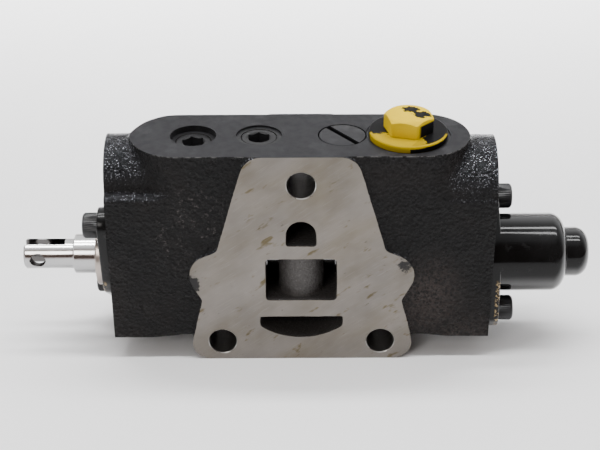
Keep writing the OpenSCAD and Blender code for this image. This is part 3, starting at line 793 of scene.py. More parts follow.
def cast_grain() -> bpy.types.NodeTree:
    """Sand-cast iron under paint: crowded soft lumps, finer grit and pits, with a mask of specks and a mask
    of dots that place painted highlight specks.
    """

    def build(g: Graph, i: dict) -> dict:
        """Adds the lumps, the grit and the pits."""
        bent = g.vector("MULTIPLY", g.noise(i["Place"], 0.35, 2.0), (0.8, 0.8, 0.8)).outputs[0]
        place = g.vector("ADD", i["Place"], bent).outputs[0]
        lumps = g.node("TexVoronoi", {"Vector": place, "Scale": i["Lumps per mm"]},
                       feature="SMOOTH_F1").outputs["Distance"]
        grit = g.noise(place, 2.1, 4.0, 0.6)
        pits = g.clamp_span(g.noise(i["Place"], 0.9, 2.0), 0.62, 0.74)
        high = g.maths("MULTIPLY_ADD", lumps, -1.0, g.times(grit, 0.55))
        high = g.maths("MULTIPLY_ADD", pits, -0.35, high)
        speck = g.clamp_span(g.noise(place, 1.6, 3.0, 0.7), 0.56, 0.70)
        # Dots that place the painted highlight specks.
        dots = g.node("TexVoronoi", {"Vector": i["Place"], "Scale": 1.35}).outputs["Distance"]
        highlight_dots = g.times(g.clamp_span(dots, 0.42, 0.16), g.clamp_span(g.noise(place, 0.4), 0.36, 0.56))
        return {"Height": high, "Speckle": speck, "Beads": highlight_dots}

    return group("cast_grain", {"Place": None, "Lumps per mm": 0.8},
                 {"Height": NUMBER, "Speckle": NUMBER, "Beads": NUMBER}, build)


def scratches() -> bpy.types.NodeTree:
    """Fine straight marks along one direction, with a height and a mask."""

    def build(g: Graph, i: dict) -> dict:
        """Stretches noise along the marks and keeps its ridges."""
        laid = g.node("Mapping", {"Vector": i["Place"], "Rotation": i["Turn"]}).outputs[0]
        fine = g.noise(g.vector("MULTIPLY", laid, i["Stretch"]).outputs[0], 1.0, 4.0, 0.65)
        return {"Height": fine, "Marks": g.clamp_span(fine, 0.56, 0.66)}

    return group("scratches", {"Place": None, "Turn": None, "Stretch": None},
                 {"Height": NUMBER, "Marks": NUMBER}, build)


def grime() -> bpy.types.NodeTree:
    """A colour broken up by soft stains and dust: two sizes of cloud, each with its own strength."""

    def build(g: Graph, i: dict) -> dict:
        """Adds the broad clouds and the small spots."""
        broad = g.clamp_span(g.noise(i["Place"], 0.035, 4.0, 0.6), 0.40, 0.72)
        spots = g.clamp_span(g.noise(i["Place"], 0.22, 3.0, 0.6), 0.58, 0.70)
        mask = g.maths("MAXIMUM", g.times(broad, i["Broad"]), g.times(spots, i["Spots"]))
        return {"Colour": g.mix(mask, i["Clean"], i["Dirty"]), "Mask": mask}

    return group("grime", {"Place": None, "Clean": (0.5, 0.5, 0.5), "Dirty": (0.2, 0.2, 0.2),
                           "Broad": 0.5, "Spots": 0.5}, {"Colour": COLOUR, "Mask": NUMBER}, build)


def scaled(colour: tuple, share: float) -> tuple:
    """A colour made darker or lighter by a share."""
    return tuple(c * share for c in colour)


@dataclass(frozen=True)
class Finish:
    """A surface finish: a name, a base colour and how it shines. Each finish adds its own detail."""

    name: str
    colour: tuple
    rough: float
    metal: float = 0.0
    gleam: float = 0.5

    def material(self) -> bpy.types.Material:
        """Makes the material once and returns it."""
        if self.name in bpy.data.materials:
            return bpy.data.materials[self.name]
        made = bpy.data.materials.new(self.name)
        made.use_nodes = True
        made.diffuse_color = (*self.colour, 1.0)
        made.node_tree.nodes.clear()
        g = Graph(made.node_tree)
        shader = g.node("BsdfPrincipled", {"Base Color": self.colour, "Roughness": self.rough,
                                           "Metallic": self.metal, "Coat Roughness": 0.05,
                                           "Specular IOR Level": self.gleam})
        g.node("OutputMaterial", {0: shader.outputs[0]})
        place = g.vector("MULTIPLY", g.node("TexCoord").outputs["Object"], (1000.0,) * 3).outputs[0]
        g.feed(shader, self.dress(g, place))
        return made

    def dress(self, g: Graph, place: Socket) -> dict:
        """The finish's own detail.

        Args:
            g: The material's graph.
            place: A place on the piece in millimetres.

        Returns:
            Names of the shader's sockets to what feeds them.
        """
        return {}

    def bump(self, g: Graph, high: Socket, depth_mm: float, strength: float = 1.0) -> Socket:
        """A normal from a height, as a depth in millimetres."""
        made = g.node("Bump", {"Height": high, "Distance": depth_mm / 1000.0, "Strength": strength})
        return made.outputs[0]

    def use(self, g: Graph, tree: bpy.types.NodeTree, inputs: dict) -> dict:
        """Places a node group and returns its outputs by name."""
        made = g.tree.nodes.new("ShaderNodeGroup")
        made.node_tree = tree
        return {s.name: s for s in g.feed(made, inputs).outputs}

    def soiled(self, g: Graph, place: Socket, dirty: tuple, broad: float, spots: float) -> dict:
        """The base colour with grime of another colour over it."""
        return self.use(g, grime(), {"Place": place, "Clean": self.colour, "Dirty": dirty, "Broad": broad,
                                     "Spots": spots})


@dataclass(frozen=True)
class CastPaint(Finish):
    """Thin black paint over rough cast iron, lightly dusty, with lighter brownish patches low on the right,
    and scuffed high on the left.

    Faces that look partly upwards get a painted highlight: a lighter colour, broken into bright painted
    specks by the grain under the paint. They are also made more metallic and a little smoother.
    """

    grit: tuple = (0.020, 0.019, 0.019)
    dust: tuple = (0.024, 0.018, 0.016)
    # Lighter brownish patches low on the right of the front.
    brownish_patch: tuple = (0.047, 0.037, 0.034)
    brownish_spots: tuple = (Spot((51, 0, 20), (18, 7, 28)), Spot((64, 0, 2), (24, 7, 16), 0.7))
    scuff: tuple = (0.085, 0.076, 0.075)
    scuff_spots: tuple = (Spot((-40, 0, 57), (15, 5, 20)), Spot((-50, 0, 46), (11, 5, 17)))
    # A light line along the top rim: partly worn paint, and partly a painted highlight where the edge catches
    # light.
    worn: tuple = (0.15, 0.147, 0.145)
    worn_highlight_rim_z: tuple = (82.25, 82.6)
    # Painted highlight for faces that look partly upwards: a colour, with low and high scales that give a
    # lighter tone and bright painted specks.
    gloss: tuple = (0.040, 0.041, 0.045)
    highlight_low: float = 0.45
    highlight_high: float = 6.5

    def dress(self, g: Graph, place: Socket) -> dict:
        """Adds cast grain, light grit, lighter brownish patches low on the right, rubbed spots, a light top
        edge that is partly worn paint and partly painted highlight, and the speckled painted highlight on
        upward faces.
        """
        grain = self.use(g, cast_grain(), {"Place": place, "Lumps per mm": 0.8})
        dirt = self.soiled(g, place, self.dust, 0.25, 0.12)
        colour = g.mix(g.times(grain["Speckle"], 0.4), dirt["Colour"], self.grit)
        # Lighter brownish patches low on the right of the front.
        soiled = g.clamp_span(g.noise(place, 0.9, 5.0, 0.75), 0.38, 0.60)
        colour = g.mix(g.times(g.near(place, self.brownish_spots), soiled), colour, self.brownish_patch)
        rubbed = g.clamp_span(g.near(place, self.scuff_spots), 0.0, 0.5)
        patch = g.clamp_span(g.noise(place, 0.75, 5.0, 0.75), 0.57, 0.66)
        colour = g.mix(g.times(rubbed, patch), colour, self.scuff)
        # The light top rim line: partly worn paint, partly a painted highlight.
        edge = g.clamp_span(g.axes(place)[2], *self.worn_highlight_rim_z)
        worn = g.clamp_span(g.noise(place, 0.35, 4.0, 0.7), 0.44, 0.58)
        colour = g.mix(g.times(edge, worn, 0.8), colour, self.worn)
        # Painted highlight on faces that look partly upwards: a lighter colour with bright painted specks.
        # These faces are also more metallic and a little smoother.
        upward_highlight = g.clamp_span(g.tilt(), 0.10, 0.55)
        low, high = scaled(self.gloss, self.highlight_low), scaled(self.gloss, self.highlight_high)
        shine = g.clamp_span(g.noise(place, 0.16, 3.0), 0.3, 0.7, self.rough - 0.05, self.rough + 0.08)
        colour = g.mix(g.times(upward_highlight, 0.9), colour, g.mix(grain["Beads"], low, high))
        return {"Base Color": colour, "Metallic": g.times(upward_highlight, 0.85),
                "Roughness": g.maths("MULTIPLY_ADD", upward_highlight, -0.1, shine),
                "Normal": self.bump(g, grain["Height"], 0.7)}


@dataclass(frozen=True)
class RawCast(Finish):
    """Unpainted sand-cast iron inside the galleries: grey, grainy, with brighter specks."""

    def dress(self, g: Graph, place: Socket) -> dict:
        """Adds the grain and its specks."""
        grain = self.use(g, cast_grain(), {"Place": place, "Lumps per mm": 0.9})
        dirt = self.soiled(g, place, scaled(self.colour, 0.55), 0.5, 0.5)
        colour = g.mix(g.times(grain["Speckle"], 0.7), dirt["Colour"], scaled(self.colour, 2.4))
        rough = g.maths("MULTIPLY_ADD", grain["Speckle"], -0.15, self.rough)
        return {"Base Color": colour, "Roughness": rough, "Normal": self.bump(g, grain["Height"], 0.25)}


@dataclass(frozen=True)
class GroundPad(Finish):
    """Bare iron ground flat: slanting grinding marks, lubricant stains, small pits and overspray at the ears.
    """

    slant: float = 35.0
    stain: tuple = (0.115, 0.092, 0.045)
    mark: tuple = (0.30, 0.285, 0.27)
    pit: tuple = (0.035, 0.03, 0.018)
    paint: tuple = (0.010, 0.010, 0.012)
    paint_spots: tuple = (Spot((-43.5, 0, 27.0), (7.2, 9, 7.6)), Spot((40.5, 0, 35.5), (7.5, 9, 8.0), 0.66))

    def dress(self, g: Graph, place: Socket) -> dict:
        """Adds the marks, stains, pits and paint."""
        turn = (0.0, math.radians(self.slant), 0.0)
        marks = self.use(g, scratches(), {"Place": place, "Turn": turn, "Stretch": (0.10, 1.0, 3.2)})
        laid = g.node("Mapping", {"Vector": place, "Rotation": turn}).outputs[0]
        drawn = g.vector("MULTIPLY", laid, (0.42, 1.0, 1.25)).outputs[0]
        dirt = self.soiled(g, drawn, self.stain, 0.5, 0.9)
        tone = g.clamp_span(g.noise(place, 0.05, 3.0), 0.3, 0.7, 0.86, 1.08)
        colour = g.node("VectorMath", {0: dirt["Colour"], "Scale": tone}, operation="SCALE").outputs[0]
        colour = g.mix(g.times(marks["Marks"], 0.32), colour, self.mark)
        pits = g.clamp_span(g.noise(drawn, 0.42, 3.0, 0.7), 0.67, 0.72)
        colour = g.mix(g.times(pits, 0.55), colour, self.pit)
        ragged = g.times(g.maths("SUBTRACT", g.noise(place, 0.6, 5.0, 0.75), 0.5), 1.5)
        spray = g.clamp_span(g.maths("ADD", g.near(place, self.paint_spots), ragged), 0.42, 0.56)
        colour = g.mix(g.times(spray, 0.93), colour, self.paint)
        marked = g.maths("SUBTRACT", marks["Height"], pits)
        return {"Base Color": colour, "Metallic": g.clamp_span(spray, 0.0, 1.0, self.metal, 0.0),
                "Roughness": g.clamp_span(dirt["Mask"], 0.0, 1.0, self.rough, self.rough + 0.12),
                "Normal": self.bump(g, marked, 0.03, 0.6)}


@dataclass(frozen=True)
class Machined(Finish):
    """A milled face or bored wall: fine marks along it, a thin dark film, and near-black painted shade below
    a given depth.
    """

    marks_turn: float = 0.0
    stretch: tuple = (0.12, 0.12, 2.0)
    # Painted shade: below this height the colour turns near black.
    shaded_below: float = -1000.0
    deep: tuple = (0.0015, 0.0015, 0.0016)

    def dress(self, g: Graph, place: Socket) -> dict:
        """Adds tool marks, film, small bright scratches and the painted shade below the given depth."""
        marks = self.use(g, scratches(), {"Place": place, "Turn": (0.0, 0.0, math.radians(self.marks_turn)),
                                          "Stretch": self.stretch})
        film = self.soiled(g, place, scaled(self.colour, 0.62), 0.6, 0.3)
        bright = tuple(min(1.0, c * 1.7 + 0.02) for c in self.colour)
        colour = g.mix(g.times(marks["Marks"], 0.3), film["Colour"], bright)
        # Painted shade below the given height.
        sunk = g.clamp_span(g.axes(place)[2], self.shaded_below, self.shaded_below - 0.3)
        rough = g.clamp_span(g.noise(place, 0.3, 3.0), 0.3, 0.7, self.rough - 0.06, self.rough + 0.08)
        return {"Base Color": g.mix(sunk, colour, self.deep), "Roughness": rough,
                "Normal": self.bump(g, marks["Height"], 0.02, 0.5)}


@dataclass(frozen=True)
class TurnedSteel(Finish):
    """Bright steel turned or ground round the spool's axis: rings, a faint dark film and stray scratches."""

    film: tuple = (0.16, 0.13, 0.115)
    film_share: float = 0.35
    # Painted shade: from the given x rightwards, inside the body, the steel is drawn darker.
    oil: tuple = (0.045, 0.038, 0.034)
    bore_shade_from: float = -72.0

    def dress(self, g: Graph, place: Socket) -> dict:
        """Adds rings across the axis, film in soft patches, and painted shade to the right of the seal, where
        the steel lies inside the body.
        """
        rings = self.use(g, scratches(), {"Place": place, "Turn": (0.0,) * 3, "Stretch": (3.2, 0.15, 0.15)})
        film = self.soiled(g, place, self.film, self.film_share, self.film_share * 0.6)
        # Painted shade inside the body, to the right of the seal.
        in_bore_shade = g.clamp_span(g.axes(place)[0], self.bore_shade_from - 2, self.bore_shade_from + 2)
        colour = g.mix(g.times(in_bore_shade, 0.85), film["Colour"], self.oil)
        rough = g.maths("MULTIPLY_ADD", rings["Marks"], 0.08, self.rough)
        return {"Base Color": self.shaded(g, place, colour),
                "Roughness": g.maths("MULTIPLY_ADD", film["Mask"], 0.2, rough),
                "Normal": self.bump(g, rings["Height"], 0.012, 0.5)}

    def shaded(self, g: Graph, place: Socket, colour: Socket) -> Socket:
        """The colour, with any painted shade or painted reflection that a piece's own form asks for."""
        return colour


@dataclass(frozen=True)
class ForkSteel(TurnedSteel):
    """The spool's steel, with painted shade that greys its underside, a painted brownish reflection as a line
    along its side, and painted shade that darkens the fork slot.
    """

    slot_x: tuple = (-110.9, -91.0)
    slot_r: tuple = (5.8, 5.5)
    # Colours of the painted shade in the slot, the painted shade on the underside, and the painted brownish
    # reflection along the side.
    dark: tuple = (0.075, 0.070, 0.068)
    under: tuple = (0.34, 0.34, 0.345)
    line: tuple = (0.20, 0.135, 0.115)

    def shaded(self, g: Graph, place: Socket, colour: Socket) -> Socket:
        """Paints shade that greys the underside, paints the brownish reflected line, and paints shade that
        darkens the slot and the pin hole inside the fork.

        Args:
            g: The material's graph.
            place: A place in millimetres.
            colour: The steel's own colour.

        Returns:
            The shaded colour.
        """
        x, y, z = g.axes(place)
        y, z = g.maths("SUBTRACT", y, SPOOL_Y), g.maths("SUBTRACT", z, height(SPOOL_H))
        off = g.vector("LENGTH", g.node("CombineXYZ", {0: y, 1: z}).outputs[0]).outputs[1]
        tip, shoulder = self.slot_x
        inner = g.times(g.clamp_span(off, *self.slot_r), g.clamp_span(x, tip, tip + 0.3),
                        g.clamp_span(x, shoulder, shoulder - 0.3))
        # Painted shade on faces that look sideways or down, and a painted brownish reflection in a band along
        # the side.
        tilt = g.tilt()
        colour = g.mix(g.times(g.clamp_span(tilt, 0.5, 0.3), 0.75), colour, self.under)
        line = g.times(g.clamp_span(tilt, 0.52, 0.42), g.clamp_span(tilt, 0.16, 0.28), 0.55)
        # Painted shade inside the slot and the pin hole.
        return g.mix(g.times(inner, 0.92), g.mix(line, colour, self.line), self.dark)


@dataclass(frozen=True)
class GlossPaint(Finish):
    """Glossy black paint with a faint orange-peel skin, a little dust, and chips on a flange's lower rim."""

    chip: tuple = (0.34, 0.25, 0.13)
    chips: float = 0.0
    chip_x: tuple = (76.6, 77.4, 78.8, 79.4)
    chip_y: tuple = (9.0, 6.0)
    chip_z: tuple = (27.0, 24.0)
    varnish: float = 0.0

    def chipped(self, g: Graph, place: Socket) -> Socket:
        """Where the paint is chipped: in ragged patches on the rim of a flange, near its foot and front.

        Args:
            g: The material's graph.
            place: A place in millimetres.

        Returns:
            The share of bare metal.
        """
        x, y, z = g.axes(place)
        x = g.maths("ABSOLUTE", x)
        start, full, fading, end = self.chip_x
        worn = g.times(g.clamp_span(x, end, fading), g.clamp_span(x, start, full),
                       g.clamp_span(y, *self.chip_y), g.clamp_span(z, *self.chip_z))
        return g.times(worn, g.clamp_span(g.noise(place, 0.7, 4.0, 0.7), 0.50, 0.55), self.chips)

    def dress(self, g: Graph, place: Socket) -> dict:
        """Adds the skin, the dust, a varnish that shows at a slant and, where asked, the chips."""
        dust = self.soiled(g, place, tuple(c * 2.2 + 0.012 for c in self.colour), 0.25, 0.35)
        colour = dust["Colour"]
        rough = g.clamp_span(dust["Mask"], 0.0, 0.6, self.rough, self.rough + 0.14)
        if self.chips > 0:
            share = self.chipped(g, place)
            colour = g.mix(share, colour, self.chip)
            rough = g.maths("MULTIPLY_ADD", share, 0.25, rough)
        aslant = g.clamp_span(g.node("LayerWeight", {"Blend": 0.5}).outputs["Facing"], 0.22, 0.45)
        peel = g.maths("ADD", g.noise(place, 0.9, 2.0), g.times(g.noise(place, 3.0, 2.0), 0.2))
        return {"Base Color": colour, "Roughness": rough, "Coat Weight": g.times(aslant, self.varnish),
                "Normal": self.bump(g, peel, 0.012, 0.5)}


@dataclass(frozen=True)
class YellowPlastic(Finish):
    """Moulded yellow plastic with black overspray on the flange, on one facet and on top of the head.

    Heights are the frame's own Z: the O-ring groove's top, the flange's rim and top, and the head's bevel.
    """

    axis: tuple = (PORT_X, SPOOL_Y)
    stain: tuple = (0.46, 0.30, 0.0)
    # A darker yellow for the flange and the stem, below the flange's top.
    thin: tuple = (0.22, 0.15, 0.0)
    paint: tuple = (0.005, 0.005, 0.0055)
    flange_foot_z: tuple = (82.2, 82.6)
    skirt_z: tuple = (84.2, 83.9)
    rim_z: tuple = (84.3, 84.6)
    rim_r: tuple = (14.2, 14.5)
    flange_z: tuple = (85.5, 85.2)
    head_z: tuple = (85.0, 85.3)
    bevel_z: tuple = (90.3, 89.7)
    painted_from: tuple = (3.6, 5.4)
    facet_turn: tuple = (0.9, -0.52)
    facet_at: tuple = (7.4, 7.9)
    crown_spots: tuple = (Spot((PORT_X + 1.2, SPOOL_Y + 3.6, 91.8), (5.6, 4.8, 2.4)),
                          Spot((PORT_X + 4.8, SPOOL_Y - 0.8, 91.8), (6.0, 5.2, 2.4)))

    def flange_paint(self, g: Graph, place: Socket, around: tuple, ragged: Socket) -> Socket:
        """Paint on the flange's back and right, but not its front rim; its wall is painted further left.

        Args:
            g: The material's graph.
            place: A place in millimetres.
            around: The place's x and y from the plug's axis, and its z.
            ragged: Soft noise that breaks up the paint's edge.

        Returns:
            The share of paint.
        """
        x, y, z = around
        back = g.maths("MAXIMUM", g.maths("ADD", y, self.painted_from[0]),
                       g.maths("SUBTRACT", x, self.painted_from[1]))
        out = g.vector("LENGTH", g.node("CombineXYZ", {0: x, 1: y}).outputs[0]).outputs[1]
        rim = g.times(g.clamp_span(out, *self.rim_r), g.clamp_span(z, *self.rim_z))
        back = g.maths("MULTIPLY_ADD", g.times(rim, g.clamp_span(y, -1.5, -3.5)), -9.0, back)
        skirt = g.times(g.clamp_span(z, *self.skirt_z), g.clamp_span(x, -2.5, 0.5))
        back = g.maths("MULTIPLY_ADD", skirt, 6.5, back)
        frayed = g.maths("SUBTRACT", g.noise(place, 0.8, 4.0, 0.7), 0.5)
        back = g.maths("MULTIPLY_ADD", frayed, 4.0, back)
        return g.clamp_span(g.maths("MULTIPLY_ADD", ragged, 9.0, back), 0.0, 0.4)

    def dress(self, g: Graph, place: Socket) -> dict:
        """Adds moulding haze, a darker yellow below the flange's top, and the paint."""
        haze = self.soiled(g, place, self.stain, 0.55, 0.35)
        ragged = g.maths("SUBTRACT", g.noise(place, 0.34, 5.0, 0.72), 0.5)
        x, y, z = g.axes(place)
        x, y = g.maths("SUBTRACT", x, self.axis[0]), g.maths("SUBTRACT", y, self.axis[1])
        low = g.clamp_span(z, *self.flange_z)
        disc = self.flange_paint(g, place, (x, y, z), ragged)
        aside = g.maths("MULTIPLY_ADD", x, self.facet_turn[0], g.times(y, self.facet_turn[1]))
        facet = g.times(g.clamp_span(aside, *self.facet_at), g.clamp_span(z, *self.bevel_z),
                        g.clamp_span(z, *self.head_z))
        crown = g.maths("MULTIPLY_ADD", ragged, 2.0, g.near(place, self.crown_spots))
        crown = g.clamp_span(crown, 0.42, 0.46)
        spray = g.maths("MAXIMUM", g.maths("MAXIMUM", facet, crown), g.times(disc, low))
        spray = g.times(spray, g.clamp_span(z, *self.flange_foot_z))
        # Below the flange's top the yellow is drawn darker.
        colour = g.mix(spray, g.mix(g.times(low, 0.7), haze["Colour"], self.thin), self.paint)
        skin = g.maths("MULTIPLY_ADD", spray, 0.8, g.noise(place, 1.4, 2.0))
        return {"Base Color": colour, "Roughness": g.clamp_span(spray, 0, 1, self.rough, 0.32),
                "Normal": self.bump(g, skin, 0.02, 0.6)}


@dataclass(frozen=True)
class Mottled(Finish):
    """A plain working surface, such as rubber, wire or copper, with soft mottling and a fine grain."""

    grain_per_mm: float = 2.0
    grain_depth: float = 0.01
    shade: float = 0.6

    def dress(self, g: Graph, place: Socket) -> dict:
        """Adds mottling and grain."""
        film = self.soiled(g, place, scaled(self.colour, self.shade), 0.6, 0.5)
        grain = g.noise(place, self.grain_per_mm, 3.0)
        return {"Base Color": film["Colour"],
                "Roughness": g.clamp_span(film["Mask"], 0, 1, self.rough - 0.04, self.rough + 0.1),
                "Normal": self.bump(g, grain, self.grain_depth, 0.6)}


CAST = CastPaint("cast_paint", (0.0040, 0.0039, 0.0042), 0.26, gleam=0.13)
RAW = RawCast("raw_cast", (0.055, 0.051, 0.049), 0.55, metal=0.2)
PAD = GroundPad("ground_pad", (0.21, 0.193, 0.176), 0.42, metal=0.5, gleam=0.16)
TOP = Machined("painted_top", (0.013, 0.013, 0.0148), 0.38, gleam=0.15, marks_turn=90.0)
BORED = Machined("bored_iron", (0.075, 0.07, 0.066), 0.38, metal=0.6, stretch=(2.0, 0.3, 0.3))
BARE = Machined("bare_edge", (0.45, 0.44, 0.42), 0.3, metal=0.9)
END = Machined("painted_end", (0.012, 0.012, 0.013), 0.34, gleam=0.25, stretch=(2.0, 0.12, 0.6))
PLUG = Machined("blackened_plug", (0.013, 0.013, 0.014), 0.34, gleam=0.25, marks_turn=30.0)
# The slotted plug gets near-black painted shade below z = 82.3, in its slot and on its head's sides.
SLOTTED = Machined("slotted_plug", (0.016, 0.016, 0.018), 0.38, gleam=0.2, marks_turn=20.0, shaded_below=82.3)
BRIGHT = ForkSteel("bright_spool", (0.76, 0.755, 0.75), 0.14, metal=1.0, film_share=0.25)
RETAINER = TurnedSteel("retainer_steel", (0.50, 0.44, 0.40), 0.24, metal=1.0)
DULL = TurnedSteel("dull_steel", (0.42, 0.40, 0.38), 0.36, metal=1.0, film_share=0.7)
GLOSS = GlossPaint("gloss_cap", (0.0025, 0.0025, 0.0027), 0.09, gleam=0.2, chips=0.9, varnish=1.0)
FLANGE = GlossPaint("flange_paint", (0.0035, 0.0035, 0.0037), 0.2, gleam=0.2, chips=0.9, varnish=0.4)
SCREW = GlossPaint("screw_black", (0.007, 0.007, 0.008), 0.28, gleam=0.35)
YELLOW = YellowPlastic("moulded_yellow", (0.62, 0.43, 0.0), 0.4, gleam=0.05)
RUBBER = Mottled("nitrile_rubber", (0.012, 0.012, 0.012), 0.62)
COPPER = Mottled("copper_washer", (0.50, 0.20, 0.09), 0.38, metal=1.0)
WIRE = Mottled("spring_wire", (0.28, 0.275, 0.27), 0.34, metal=1.0, grain_per_mm=4.0)


def finish_with(thing: bpy.types.Object, *finishes: Finish) -> None:
    """Gives an object its materials, in order."""
    thing.data.materials.clear()
    for finish in finishes:
        thing.data.materials.append(finish.material())


def shade(thing: bpy.types.Object, degrees: float = 34.0) -> None:
    """Shades an object smooth, but for edges sharper than an angle."""
    mesh = thing.data
    mesh.polygons.foreach_set("use_smooth", [True] * len(mesh.polygons))
    mesh.set_sharp_from_angle(angle=math.radians(degrees))
    mesh.update()


def fit(thing: bpy.types.Object, body: str, slot: str, *nodes: str) -> bpy.types.Object:
    """Makes a piece ride on a body and stand for CAD nodes."""
    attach(thing, body)
    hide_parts(*nodes)
    return thing


def hexagon(across: float, turn: float = 0.0, corner: float = 0.0) -> Array:
    """A hexagon's outline from its width across flats, turned in degrees, with its corners eased."""
    a = np.radians(turn + 60.0 * np.arange(6))
    r = across / 2 / math.cos(math.pi / 6)
    flat = np.stack([r * np.cos(a), r * np.sin(a), np.full(6, corner)], axis=1)
    return softened(flat, closed=True, steps=3) if corner > 0 else flat[:, :2]


def socket_cut(across: float, top: float, depth: float) -> Shape:
    """A hexagonal socket below a top face; used only to cut with."""
    return plate(hexagon(across, 30.0), top - depth, top + 1.0)


def screw_spots(lean: float) -> list:
    """The places of an end's two screws from the spool's axis, as steps back and up.

    Args:
        lean: How far they lean from upright, in degrees; positive leans the upper one to the back.

    Returns:
        Two pairs.
    """
    r, a = SCREW_PCD / 2, math.radians(lean)
    dy, dh = r * math.sin(a), r * math.cos(a)
    return [(dy, dh), (-dy, -dh)]


def ear_outline(spots: Sequence[tuple], lobe_r: float, lug_r: float) -> Array:
    """A round lobe with two lugs, joined by straight sides that touch both circles.

    Args:
        spots: The lugs' centres from the lobe's centre.
        lobe_r: The lobe's radius.
        lug_r: The lugs' radius.

    Returns:
        The outline, anticlockwise.
    """
    rows = []
    turns = sorted((math.atan2(y, x) % (2 * math.pi), math.hypot(x, y)) for x, y in spots)
    for i, (way, far) in enumerate(turns):
        spread = math.acos((lobe_r - lug_r) / far)
        a = np.linspace(way - spread, way + spread, 20)
        rows.append(far * np.array([[math.cos(way), math.sin(way)]])
                    + lug_r * np.stack([np.cos(a), np.sin(a)], axis=1))
        after = turns[(i + 1) % 2][0] + (2 * math.pi if i == 1 else 0)
        a = np.linspace(way + spread, after - spread, 24)[1:-1]
        rows.append(lobe_r * np.stack([np.cos(a), np.sin(a)], axis=1))
    return np.vstack(rows)


def eared_plate(spots: Sequence[tuple], lobe_r: float) -> Shape:
    """The flange that both ends have: a lobe with two lugs."""
    return plate(ear_outline(spots, lobe_r, LUG_R), 0.0, FLANGE_T, 0.6, 0.25)


def lug_holes(spots: Sequence[tuple], hole_r: float = 3.3) -> list:
    """The screw holes through a flange's lugs, as cutters."""
    hole = rod(hole_r, -1, FLANGE_T + 1, 40)
    return [Shape(hole.points + [x, y, 0], hole.quads, hole.others) for x, y in spots]


